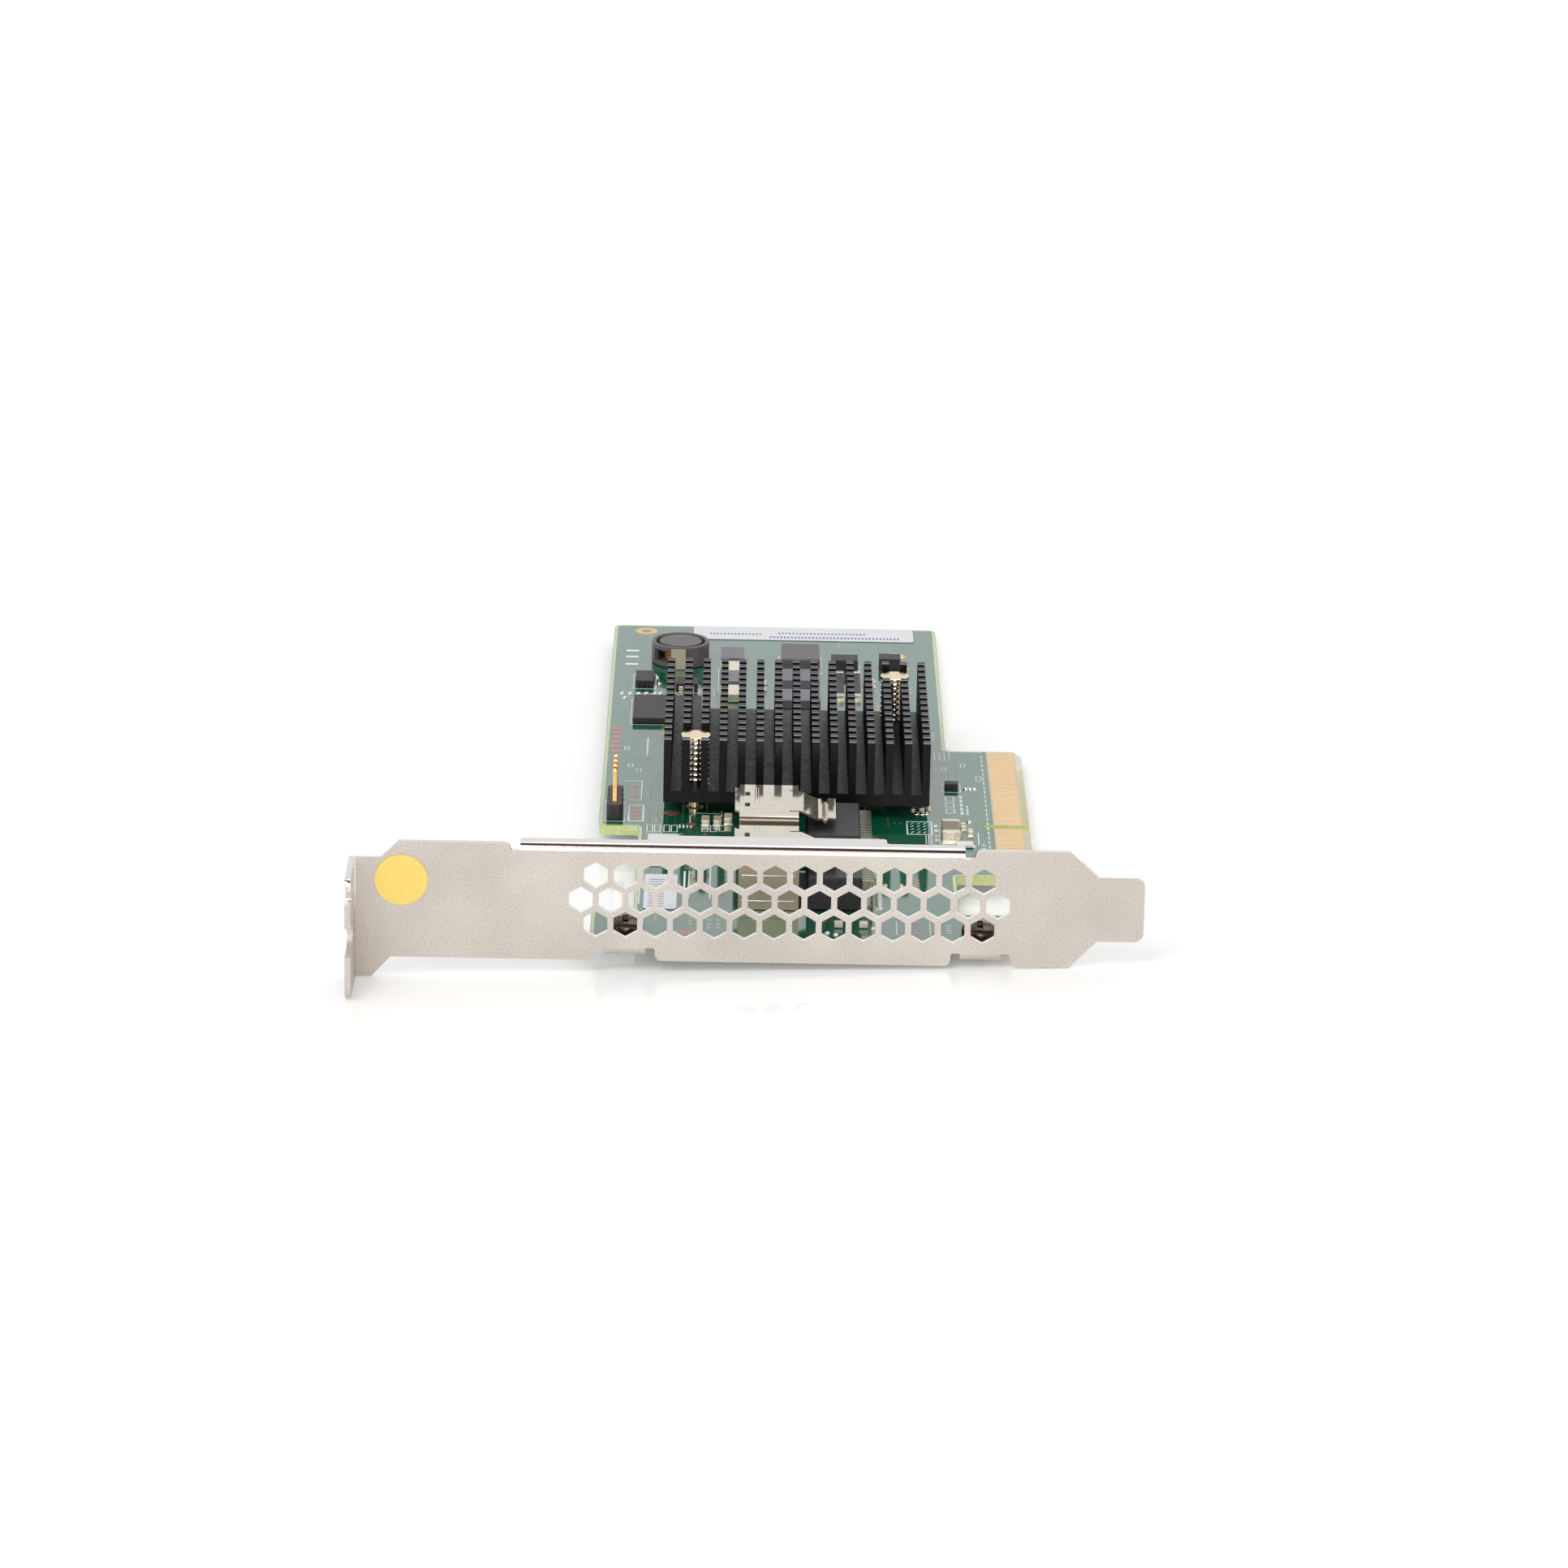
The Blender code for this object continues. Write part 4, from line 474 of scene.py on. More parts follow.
# A solid of revolution about z: rings of (radius, height) pairs that run upwards on the outer side
def turnedSolid(profile, around):
    profile = np.asarray(profile, float)
    turn = np.arange(around) * 2 * np.pi / around
    x = profile[:, :1] * np.cos(turn)
    y = profile[:, :1] * np.sin(turn)
    return stackRings(np.stack([x, y, np.broadcast_to(profile[:, 1:], x.shape)], -1))


# A profile of (radius, height) pairs carried to each of several turns about z
def sweptRings(profile, turns):
    profile = np.asarray(profile, float)
    x = np.cos(turns)[:, None] * profile[:, 0]
    y = np.sin(turns)[:, None] * profile[:, 0]
    return np.stack([x, y, np.broadcast_to(profile[:, 1], x.shape)], -1)


# A ring with a hollow: the profile is a closed loop that runs upwards on the outer side
def turnedRing(profile, around=48):
    return closeLoop(sweptRings(profile, -np.arange(around) * 2 * np.pi / around))


# A round wire along a path: each ring is a circle across the path's direction, which is the step between
# the points before and after
def wire(path, diameter, sides):
    along = np.gradient(path, axis=0)
    along /= np.linalg.norm(along, axis=1, keepdims=True)
    side = np.cross(along, (0.0, 0.0, 1.0))
    side /= np.linalg.norm(side, axis=1, keepdims=True)
    lift = np.cross(side, along)
    turn = np.arange(sides) * 2 * np.pi / sides
    ring = np.cos(turn)[None, :, None] * side[:, None] + np.sin(turn)[None, :, None] * lift[:, None]
    return stackRings(path[:, None] + ring * diameter / 2)


# A flat strip along a path of (x, y) points: a low rectangle carried along it, with mitred corners, each
# corner's offset being the sum of the two sides' normals
def strip(path, width, low, high, closed=False):
    path = np.asarray(path, float)
    ahead = np.roll(path, -1, axis=0) - path
    if not closed:
        ahead[-1] = ahead[-2]
    ahead /= np.linalg.norm(ahead, axis=1, keepdims=True)
    before = np.roll(ahead, 1, axis=0)
    if not closed:
        before[0] = ahead[0]
    normal = np.stack([-ahead[:, 1], ahead[:, 0]], -1)
    mitre = normal + np.stack([-before[:, 1], before[:, 0]], -1)
    mitre /= np.maximum((mitre * normal).sum(1, keepdims=True), 0.3)
    left, right = path + mitre * width / 2, path - mitre * width / 2
    corners = ((left, low), (left, high), (right, high), (right, low))
    rings = np.stack([np.insert(side, 2, level, 1) for side, level in corners], 1)
    return closeLoop(rings) if closed else stackRings(rings)


# A ridge with a stadium outline and a half-round top, standing on z 0: rings shrink along a quarter circle
def stadiumRidge(length, width, height, steps=10, rise=4):
    half = np.linspace(-np.pi / 2, np.pi / 2, steps + 1)
    angle = np.concatenate([half, half + np.pi])
    shift = np.repeat([1, -1], steps + 1) * (length - width) / 2
    lift = np.linspace(0, np.pi / 2, rise + 1)[:-1, None]
    radius = width / 2 * np.cos(lift)
    x = shift + radius * np.cos(angle)
    y = radius * np.sin(angle)
    return stackRings(np.stack([x, y, np.broadcast_to(height * np.sin(lift), x.shape)], -1))


# An outline with rounded corners from (x, y, radius) corners: each arc is tangent to both sides
def roundedOutline(corners, steps=5):
    corners = np.asarray(corners, float)
    here, radius = corners[:, :2], corners[:, 2]
    back = np.roll(here, 1, axis=0) - here
    ahead = np.roll(here, -1, axis=0) - here
    back /= np.linalg.norm(back, axis=1, keepdims=True)
    ahead /= np.linalg.norm(ahead, axis=1, keepdims=True)
    half = np.arccos(np.clip((back * ahead).sum(1), -1, 1)) / 2
    inward = back + ahead
    inward /= np.linalg.norm(inward, axis=1, keepdims=True)
    centre = here + inward * (radius / np.sin(half))[:, None]
    start = here + back * (radius / np.tan(half))[:, None] - centre
    turn = np.sign(ahead[:, 0] * back[:, 1] - ahead[:, 1] * back[:, 0])
    sweep = turn[:, None] * (np.pi - 2 * half)[:, None] * np.linspace(0, 1, steps + 1)
    x = start[:, :1] * np.cos(sweep) - start[:, 1:] * np.sin(sweep)
    y = start[:, :1] * np.sin(sweep) + start[:, 1:] * np.cos(sweep)
    return (np.stack([x, y], -1) + centre[:, None]).reshape(-1, 2)


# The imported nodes' finishes
nodeFinishes = {
    "satinNickelPlatedSteel": ["bracket"],
    "greenSolderMaskOnGlassLaminate": ["circuit_board"],
    "blackAnodisedAluminium": ["heatsink"],
    "chipLaminate": ["controller_chip"],
    "brightTinnedSteel": ["controller_lid"],
    "siliconePad": ["thermal_pad"],
    "tinnedPortCage": ["port_cage_near", "port_cage_far"],
    "mouldedNylonWithTinnedLeads": ["port_housing_near", "port_housing_far"],
    "mouldedBlackNylon": ["header_base"],
    "immersionGold": ["header_pin_%d" % number for number in (1, 2, 3, 4)],
    "firedCreamCeramic": ["inductor_strap", "filter_capacitor_left", "filter_capacitor_middle",
                          "filter_capacitor_right"],
    "sparkedEpoxyMoulding": ["flash_chip", "memory_chip", "small_regulator", "voltage_regulator",
                             "switch_transistor", "polymer_capacitor"],
    "groundFerrite": ["power_choke_far"],
    "greyPowerMoulding": ["power_choke_middle", "power_choke_near", "tank_capacitor_far",
                          "tank_capacitor_middle"],
    "creamTerminal": ["tank_capacitor_near"],
    "brownGlazedCeramic": ["bulk_capacitor"],
    "whiteMouldedPlastic": ["jumper_block", "status_led_left", "status_led_right"],
    "whiteLabelStock": ["label_near", "label_middle", "label_far"],
    "yellowDotPaper": ["round_sticker"],
}
# Nodes whose sharp edges are rounded a little: the bevel's width, and the angle that counts as an edge
edgeRounding = {"bracket": 0.1, "circuit_board": 0.05, "header_base": 0.06}
sharpEdge, flatEdge, weldReach = 40, 0.5, 0.000001
# Folded nodes shade smoothly over faces that meet under this angle in degrees; wide flat faces keep
# their own normal, and the turn is shared out over the fold's strips
softBends = {"bracket": 28, "port_cage_near": 34, "port_cage_far": 34}
faceWeight = 50


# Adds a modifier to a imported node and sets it
def modify(node, name, kind, settings):
    modifier = node.modifiers.new(name, kind)
    for key, value in settings.items():
        setattr(modifier, key, value)


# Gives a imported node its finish, its smooth shading and its rounded edges
def dressNode(name, material):
    node = nodes[name]
    node.data.materials.clear()
    node.data.materials.append(finish[material])
    if name in softBends:
        node.data.shade_smooth()
        node.data.set_sharp_from_angle(angle=math.radians(softBends[name]))
    if name in edgeRounding:
        modify(node, "weld", "WELD", {"merge_threshold": weldReach})
        modify(node, "flats", "DECIMATE", {"decimate_type": "DISSOLVE",
                                           "angle_limit": math.radians(flatEdge)})
        modify(node, "edges", "BEVEL", {"width": edgeRounding[name] * millimetre, "segments": 2,
                                        "limit_method": "ANGLE", "angle_limit": math.radians(sharpEdge),
                                        "use_clamp_overlap": True})
    if name in softBends:
        modify(node, "evened", "WEIGHTED_NORMAL", {"mode": "FACE_AREA", "weight": faceWeight,
                                                   "keep_sharp": True})


for nodeMaterial, nodeNames in nodeFinishes.items():
    for nodeName in nodeNames:
        dressNode(nodeName, nodeMaterial)
print("nodes dressed:", sum(map(len, nodeFinishes.values())))


# Springs: a round wire on a helix. Its first and last turns rise by the closed pitch and the six open
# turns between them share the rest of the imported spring's height.
springLook = {"openTurns": 6, "closedPitch": 0.62, "wire": 0.5, "pointsPerTurn": 32, "sides": 10}


def makeSpring(end):
    look = springLook
    low, high = cardBox("push_pin_spring_" + end)
    centre = (low + high) / 2
    radius = (high[0] - low[0] - look["wire"]) / 2
    rise = high[2] - low[2] - look["wire"]
    turns = look["openTurns"] + 2
    openPitch = (rise - 2 * look["closedPitch"]) / look["openTurns"]
    turn = np.linspace(0, turns, turns * look["pointsPerTurn"] + 1)
    closed = np.minimum(turn, 1) + np.maximum(turn - turns + 1, 0)
    height = low[2] + look["wire"] / 2 + closed * look["closedPitch"] + (turn - closed) * openPitch
    angle = turn * 2 * np.pi
    path = np.stack([centre[0] + radius * np.cos(angle), centre[1] + radius * np.sin(angle), height], -1)
    coil = wire(path, look["wire"], look["sides"])
    addPiece("spring_coil_" + end, coil, "brightSpringWire", ["push_pin_spring_" + end])


# Push pins: turned profiles with a slightly domed head, a short hub, a plain shank and a barb below the
# board, whose shoulder has a narrow band over a slope. The widths are radii.
pushPinLook = {"middle": 0.3, "head": 2.4, "hub": 1.2, "shank": 0.95, "barb": 1.35, "tip": 0.7,
               "headThickness": 0.5, "hubDepth": 0.4, "barbHeight": 1.1, "slopeTop": 0.34, "bandFoot": 0.26,
               "edge": 0.08, "around": 48}


def makePushPin(end):
    look = pushPinLook
    low, high = cardBox("push_pin_" + end)
    centre = (low + high) / 2
    top, foot, e = high[2], low[2], look["edge"]
    head, hub, barb, shank, tip = (look[name] for name in ("head", "hub", "barb", "shank", "tip"))
    headFoot = top - look["headThickness"]
    hubFoot = headFoot - look["hubDepth"]
    barbTop = foot + look["barbHeight"]
    profile = [
        (look["middle"], foot), (tip - e, foot), (tip, foot + e), (barb - e / 2, barbTop - look["slopeTop"]),
        (barb, barbTop - look["bandFoot"]), (barb, barbTop - e), (barb - e, barbTop), (shank, barbTop),
        (shank, hubFoot), (hub - e, hubFoot), (hub, hubFoot + e), (hub, headFoot),
        (head - e, headFoot), (head, headFoot + e), (head, top - 2 * e),
        (head - e / 2, top - e), (head - 2 * e, top - e / 3), (head / 2, top), (look["middle"], top),
    ]
    addPiece("turned_push_pin_" + end, turnedSolid(profile, look["around"]), "turnedBrass",
             ["push_pin_" + end], at=(centre[0], centre[1], 0))


for end in ("near", "far"):
    makeSpring(end)
    makePushPin(end)


# Bracket screws: a pan head whose top sinks along two crossed slots, over a plain shank. Height over the
# polar grid is the head's arc less the recess, which falls off smoothly from the slots' middle lines.
screwLook = {"headHeight": 1.9, "rimShare": 0.4, "dome": 2.4, "recessDepth": 0.8, "slotHalf": 0.36,
             "slotFall": 0.12, "slotReach": 1.75, "reachFall": 0.5, "shank": 1.42, "middle": 0.02,
             "rings": 26, "around": 96}


def makeScrew(side):
    look = screwLook
    low, high = cardBox("bracket_screw_" + side)
    centre = (low + high) / 2
    radius = (high[0] - low[0]) / 2
    headFoot = high[2] - look["headHeight"]
    share = np.linspace(1, look["middle"], look["rings"])[:, None]
    turn = np.arange(look["around"]) * 2 * np.pi / look["around"]
    dome = np.sqrt(np.maximum(1 - share ** look["dome"], 0))
    crown = look["headHeight"] * (look["rimShare"] + (1 - look["rimShare"]) * dome)
    x, y = radius * share * np.cos(turn), radius * share * np.sin(turn)
    across = np.minimum(np.abs(x), np.abs(y))
    reach = np.maximum(np.abs(x), np.abs(y))
    recess = np.clip((look["slotHalf"] - across) / look["slotFall"] + 0.5, 0, 1)
    recess *= np.clip((look["slotReach"] - reach) / look["reachFall"], 0, 1)
    z = headFoot + crown - look["recessDepth"] * recess
    circle = np.stack([look["shank"] * np.cos(turn), look["shank"] * np.sin(turn)], -1)
    rim = np.stack([x[0], y[0]], -1)
    flats = ((circle, low[2]), (circle, headFoot), (rim, headFoot))
    rings = [*(np.insert(ring, 2, level, 1) for ring, level in flats), *np.stack([x, y, z], -1)]
    addPiece("cross_recess_screw_" + side, stackRings(rings), "blackPlatedSteel",
             ["bracket_screw_" + side], at=(centre[0], centre[1], 0), smoothAngle=45)


for side in ("left", "right"):
    makeScrew(side)
print("springs, push pins and screws made")


# Drum inductor: a smooth shield ring with its side window, the drum core and layers of copper wire, each
# turn a torus that touches the next
inductorLook = {"wall": 0.7, "flange": 0.8, "neck": 1.8, "gap": 0.6, "edge": 0.12, "middle": 0.3,
                "windowTurn": 228.0, "windowHalf": 21.0, "wallSteps": 44, "around": 48,
                "wireDiameter": 0.42, "wireSides": 12, "wireAround": 40, "lowClear": 0.1, "highClear": 0.05,
                "outerClear": 0.15, "innerClear": 0.1, "layerStep": 0.9}


def makeInductor():
    look = inductorLook
    low, high = cardBox("inductor_shield")
    centre = [(low[0] + high[0]) / 2, (low[1] + high[1]) / 2, low[2]]
    outer = (high[0] - low[0]) / 2
    inner = outer - look["wall"]
    top = high[2] - low[2]
    lower, upper = look["flange"], top - look["flange"]
    e, neck, middle = look["edge"], look["neck"], look["middle"]
    foot = turnedRing([(inner, 0), (outer - e, 0), (outer, e), (outer, lower), (inner, lower)])
    crown = turnedRing([(inner, upper), (outer, upper), (outer, top - e), (outer - e, top), (inner + e, top),
                        (inner, top - e)])
    windowEnd = math.radians(look["windowTurn"] + look["windowHalf"])
    sweep = 2 * math.pi - 2 * math.radians(look["windowHalf"])
    turns = windowEnd + np.linspace(0, sweep, look["wallSteps"])
    wall = stackRings(sweptRings([(inner, lower), (inner, upper), (outer, upper), (outer, lower)], turns))
    shield = gather([foot, crown, wall])
    addPiece("shield_ring", shield, "groundFerrite", ["inductor_shield"], centre)
    drum = inner - look["gap"]
    profile = [(middle, 0), (drum, 0), (drum, lower), (neck, lower), (neck, upper), (drum, upper),
               (drum, top - e), (drum - e, top), (middle, top)]
    core = turnedSolid(profile, look["around"])
    addPiece("drum_core", core, "groundFerrite", ["inductor_core"], centre)
    r, d = look["wireDiameter"] / 2, look["wireDiameter"]
    turn = np.arange(look["wireSides"]) * 2 * np.pi / look["wireSides"]
    levels = np.arange(lower + look["lowClear"] + r, upper - look["highClear"] - r, d)
    outermost = drum - look["outerClear"] - r
    layers = (outermost, outermost - look["layerStep"] * d, neck + look["innerClear"] + r)
    sections = [np.stack([layer + r * np.cos(turn), level + r * np.sin(turn)], -1)
                for layer in layers for level in levels]
    winding = gather([turnedRing(section, look["wireAround"]) for section in sections])
    addPiece("wound_copper", winding, "enamelledCopper", ["inductor_winding"], centre)


makeInductor()


# Board margins: a narrow border without copper along the board's edge, a strip carried along its outline.
# It is open at the tongue, whose contacts run out to the edge.
outlineLook = {
    "inset": 0.32, "width": 0.5, "left": 36.26, "right": 92.65, "near": 1.75, "far": 167.65, "neck": 42.65,
    "leftNotchNear": 13.5, "leftNotchFar": 54.95, "lobe": 101.0, "lobeFar": 14.6, "rightNotchFar": 33.1,
    "shoulder": 101.2, "tongueNear": 45.16, "tongueFar": 97.36, "tongueIn": 98.9, "round": 1.0,
    "stop": 0.2, "endRound": 0.02, "sunk": 0.02, "proud": 0.012,
}


def makeMargins():
    look = outlineLook
    d, r, end = look["inset"], look["round"], look["endRound"]
    left, right, near, far = look["left"] + d, look["right"] - d, look["near"] + d, look["far"] - d
    neck, lobe, shoulder = look["neck"] + d, look["lobe"] - d, look["shoulder"] - d
    leftNear, leftFar = look["leftNotchNear"] - d, look["leftNotchFar"] + d
    lobeFar, notchFar, tongueFar = look["lobeFar"] - d, look["rightNotchFar"] + d, look["tongueFar"] - d
    path = roundedOutline([
        (look["tongueIn"], tongueFar, end), (right, tongueFar, r), (right, far, r), (left, far, r),
        (left, leftFar, r), (neck, leftFar, r), (neck, leftNear, r), (left, leftNear, r),
        (left, near, r), (lobe, near, r), (lobe, lobeFar, r), (right, lobeFar, r),
        (right, notchFar, r), (shoulder, notchFar, r), (shoulder, look["tongueNear"] - look["stop"], end),
    ])
    shapes = [strip(path, look["width"], boardTop - look["sunk"], boardTop + look["proud"]),
              strip(path, look["width"], boardUnder - look["proud"], boardUnder + look["sunk"])]
    addPiece("mask_margin", gather(shapes), "maskedLaminateMargin")


makeMargins()


# Silkscreen: printed lines and boxes as low strips of ink. The gap is left between a part and the box
# round it, and a dash fills its share of each step.
silkLook = {"line": 0.17, "thin": 0.14, "low": -0.01, "high": 0.02, "gap": (0.35, 0.4), "dash": 0.62}
boxedParts = ("flash_chip", "memory_chip", "polymer_capacitor", "power_choke_far", "voltage_regulator",
              "tank_capacitor_middle", "bulk_capacitor", "small_regulator", "header_base")


# A line of ink through points
def ink(points, width=silkLook["line"], closed=False):
    return strip(points, width, boardTop + silkLook["low"], boardTop + silkLook["high"], closed)


# A box of ink between two corners
def inkBox(x0, y0, x1, y1, width=silkLook["thin"]):
    return ink([(x0, y0), (x1, y0), (x1, y1), (x0, y1)], width, True)


# Upright strokes at several places, by their length and width
def strokes(places, length, width):
    return [ink([(x, y), (x, y + length)], width) for x, y in places]


# A row of dashes from one point to another
def dashes(start, end, count):
    start, reach = np.array(start), np.subtract(end, start)
    return [ink([start + reach * share, start + reach * (share + silkLook["dash"] / count)])
            for share in np.linspace(0, 1, count, endpoint=False)]


def makeSilkscreen():
    thin = silkLook["thin"]
    shapes = [
        ink([(39.8, 78.3), (42.8, 78.3), (42.8, 68.2), (39.9, 68.2)]),
        inkBox(40.95, 57.6, 43.25, 65.6, 0.3), ink([(43.3, 92.0), (43.3, 101.8)], 0.26),
        ink([(50.8, 56.2), (50.8, 60.9), (51.8, 62.0), (55.6, 62.0)]), ink([(55.85, 60.2), (55.85, 63.5)]),
        inkBox(85.5, 53.2, 89.4, 59.6, 0.22), ink([(94.0, 48.2), (94.0, 53.0)]),
        ink([(96.75, 48.6), (96.75, 54.5)]), ink([(82.9, 4.5), (82.9, 10.9)], thin),
        ink([(88.0, 4.6), (88.0, 10.6)], thin), ink([(43.4, 17.0), (43.4, 33.0)], 0.16),
        ink([(50.3, 20.0), (50.3, 33.0)], 0.3), ink([(51.0, 20.0), (51.0, 33.0)], 0.16),
        ink([(54.3, 20.0), (54.3, 36.0)], 0.2), inkBox(97.3, 81.3, 98.1, 83.8, 0.12),
        ink([(43.8, 51.3), (49.8, 51.3)], thin),
    ]
    shapes += [inkBox(x, y, x + 0.95, y + 2.8) for x, y in ((52.75, 52.8), (54.1, 52.8), (55.5, 53.1))]
    shapes += [inkBox(x, 52.3, x + 0.9, 55.7) for x in (44.0, 45.2, 46.7, 47.9)]
    shapes += strokes([(x, 54.4) for x in np.arange(49.2, 51.6, 0.6)], 1.6, 0.3)
    # slanted strokes in rows beside the near port
    shapes += [ink([(x, y), (x + 0.45, y + 0.7)], 0.16)
               for x in (86.1, 87.1, 88.1) for y in (54.0, 55.5, 57.0, 58.3)]
    shapes += strokes([(x, 48.4) for x in (88.4, 88.8, 89.25)], 4.5, 0.13)
    shapes += strokes([(90.1, y) for y in (50.0, 52.2, 54.6, 57.0)], 1.1, 0.5)
    shapes += dashes((98.45, 46.6), (98.5, 96.0), 21)
    # small marks beside parts: strokes, angles and crosses
    shapes += [ink([(90.4, y), (91.2, y)], 0.2) for y in np.arange(5.8, 9.8, 1.1)]
    shapes += [ink([(x, y), (x + 0.7, y + 0.5), (x, y + 1.0)], 0.12)
               for x in (53.9, 55.3) for y in (5.9, 7.6, 9.3)]
    shapes += [inkBox(x - 0.35, y - 0.8, x + 0.35, y + 0.8)
               for x, y in ((42.1, 83.9), (39.9, 95.8), (40.7, 86.6), (92.1, 87.4), (95.3, 89.5))]
    for x, y in ((97.5, 48.1), (97.5, 46.6)):
        shapes += [ink([(x - 0.4, y), (x + 0.4, y)]), ink([(x, y - 1.0), (x, y + 1.0)])]
    shapes += [inkBox(92.0, y, 93.3, y + 2.2, 0.22) for y in (64.2, 67.4, 70.6)]
    shapes += strokes([(94.5, y) for y in np.arange(63.6, 73.0, 2.1)], 1.5, 0.45)
    shapes += strokes([(95.4, y) for y in np.arange(63.6, 68.0, 1.7)], 1.2, 0.3)
    shapes += [ink([(38.6, y), (40.8, y)], 0.9) for y in (144.0, 148.4, 152.0)]
    shapes += [ink([(x, 92.2), (x + 0.5, 92.2), (x + 0.5, 96.4)], thin)
               for x in np.arange(90.3, 93.2, 0.8)]
    # outlines round the larger parts
    gapX, gapY = silkLook["gap"]
    for name in boxedParts:
        low, high = cardBox(name)
        shapes.append(inkBox(low[0] - gapX, low[1] - gapY, high[0] + gapX, high[1] + gapY, 0.13))
    addPiece("silkscreen", gather(shapes), "whiteScreenInk")


makeSilkscreen()


# Pads and vias: flat rings and rounded plates, repeated. Vias come in short rows: a row starts at a drawn
# place and steps along x or y. The reach is where rows may start, and the field is where vias may lie.
padLook = {"seed": 11, "rows": 65, "inRow": 4, "outer": 0.26, "inner": 0.12, "reachX": (44.5, 91.0),
           "reachY": (4.0, 160.0), "fieldX": (44.2, 91.8), "fieldFar": 166.0, "clear": 0.6,
           "stepX": 1.0, "stepY": 1.27, "sunk": 0.03, "rise": 0.02}
dotPlaces = [
    (38.4, 126.5), (39.8, 126.5), (41.2, 126.6), (42.5, 126.7), (44.0, 126.8), (44.9, 126.8), (38.9, 123.9),
    (44.1, 136.1), (44.6, 132.4), (72.3, 4.7), (73.6, 4.0), (79.3, 7.0), (95.5, 59.7), (95.8, 47.3),
    (95.4, 76.8), (96.1, 76.8), (96.8, 76.8), (87.1, 63.5), (88.0, 63.4), (88.7, 63.6),
]


# A flat ring with its outer edge bevelled
def padRing(outer, inner):
    sunk, rise = padLook["sunk"], padLook["rise"]
    bevel = [(outer, rise * 0.6), (outer - 0.03, rise)]
    return turnedRing([(inner, -sunk), (outer, -sunk), *bevel, (inner, rise)], 12)


# A low rounded plate
def flatPad(width, depth, corner=0.12, rise=0.03):
    return pillow(width, depth, rise, corner, 0.02, 3, 1)


# A low round plate with a bevelled edge
def discPad(radius, crown):
    return turnedSolid([(radius, 0), (radius, 0.02), (crown, 0.03), (0.1, 0.03)], 24)


# Places on the board's upper face
def onBoard(places):
    return [(x, y, boardTop) for x, y in places]


# Which places lie on the board and clear of everything that stands on it
def clearOfParts(places):
    look = padLook
    clear = (places[:, 0] > look["fieldX"][0]) & (places[:, 0] < look["fieldX"][1])
    clear &= places[:, 1] < look["fieldFar"]
    for name in nodes:
        if name in ("bracket", "circuit_board", "heatsink", "round_sticker") or name.startswith("controller"):
            continue
        low, high = cardBox(name)
        inside = (places > low[:2] - look["clear"]) & (places < high[:2] + look["clear"])
        clear &= ~(inside[:, 0] & inside[:, 1])
    return clear


def makePads():
    look = padLook
    brown = [copies(flatPad(1.5, 1.9, 0.3), onBoard([(38.05, y) for y in np.arange(94.2, 107.5, 2.54)])),
             copies(flatPad(1.2, 1.3), onBoard([(41.5, 75.8), (41.6, 70.7), (51.1, 56.4)])),
             copies(flatPad(1.3, 0.9), onBoard([(42.05, y) for y in (58.8, 60.7, 62.4, 64.3)])),
             copies(flatPad(1.5, 1.2, 0.3), onBoard([(85.8, 10.3), (85.7, 5.4)])),
             copies(discPad(1.25, 0.9), onBoard([(47.86, 61.94)])),
             copies(discPad(1.4, 1.1), onBoard([(50.95, 3.9)]))]
    addPiece("brown_pads", gather(brown), "tarnishedCopperPad")
    hole, rim, sunk, rise = 0.9, 1.9, look["sunk"], look["rise"]
    holeRing = turnedRing([(hole, -sunk), (rim, -sunk), (rim, rise), (hole, rise)], 32)
    smallPlaces = [(49.5, 56.5), (52.1, 54.4), (53.3, 51.4), (45.6, 58.1)]
    golden = [copies(holeRing, onBoard([(41.9, 164.1), (85.2, 151.2)])),
              copies(padRing(0.42, 0.2), onBoard(smallPlaces))]
    addPiece("gold_pads", gather(golden), "immersionGold")
    dome = turnedSolid([(0.42, 0), (0.4, 0.12), (0.3, 0.24), (0.16, 0.3), (0.04, 0.31)], 14)
    addPiece("solder_dots", copies(dome, onBoard(dotPlaces)), "brightSolder")
    draw = np.random.default_rng(look["seed"])
    starts = np.stack([draw.uniform(*look[reach], look["rows"]) for reach in ("reachX", "reachY")], -1)
    alongX = draw.random((look["rows"], 1)) < 0.5
    step = np.where(alongX, [[look["stepX"], 0.0]], [[0.0, look["stepY"]]])
    rows = starts[:, None] + step[:, None] * np.arange(look["inRow"])[None, :, None]
    places = rows.reshape(-1, 2)
    kept = places[clearOfParts(places)]
    via = padRing(look["outer"], look["inner"])
    both = [copies(via, np.insert(kept, 2, level, 1)) for level in (boardTop, boardUnder)]
    addPiece("vias", gather(both), "immersionGold")


makePads()
print("board details made")


# Small chips: a ceramic or moulded body with a solder-capped terminal at each end and a fillet under it.
# Heights and widths of the body, caps and fillets are shares of the chip's own.
chipLook = {"endCap": 0.25, "bodyHeight": 0.92, "bodyCorner": 0.06, "bodyEdge": 0.05, "bodyLift": 0.05,
            "capWidth": 1.03, "capCorner": 0.08, "capLift": 0.04, "filletWidth": 1.1, "filletHeight": 0.45,
            "filletCorner": 0.12, "filletOut": 0.2}
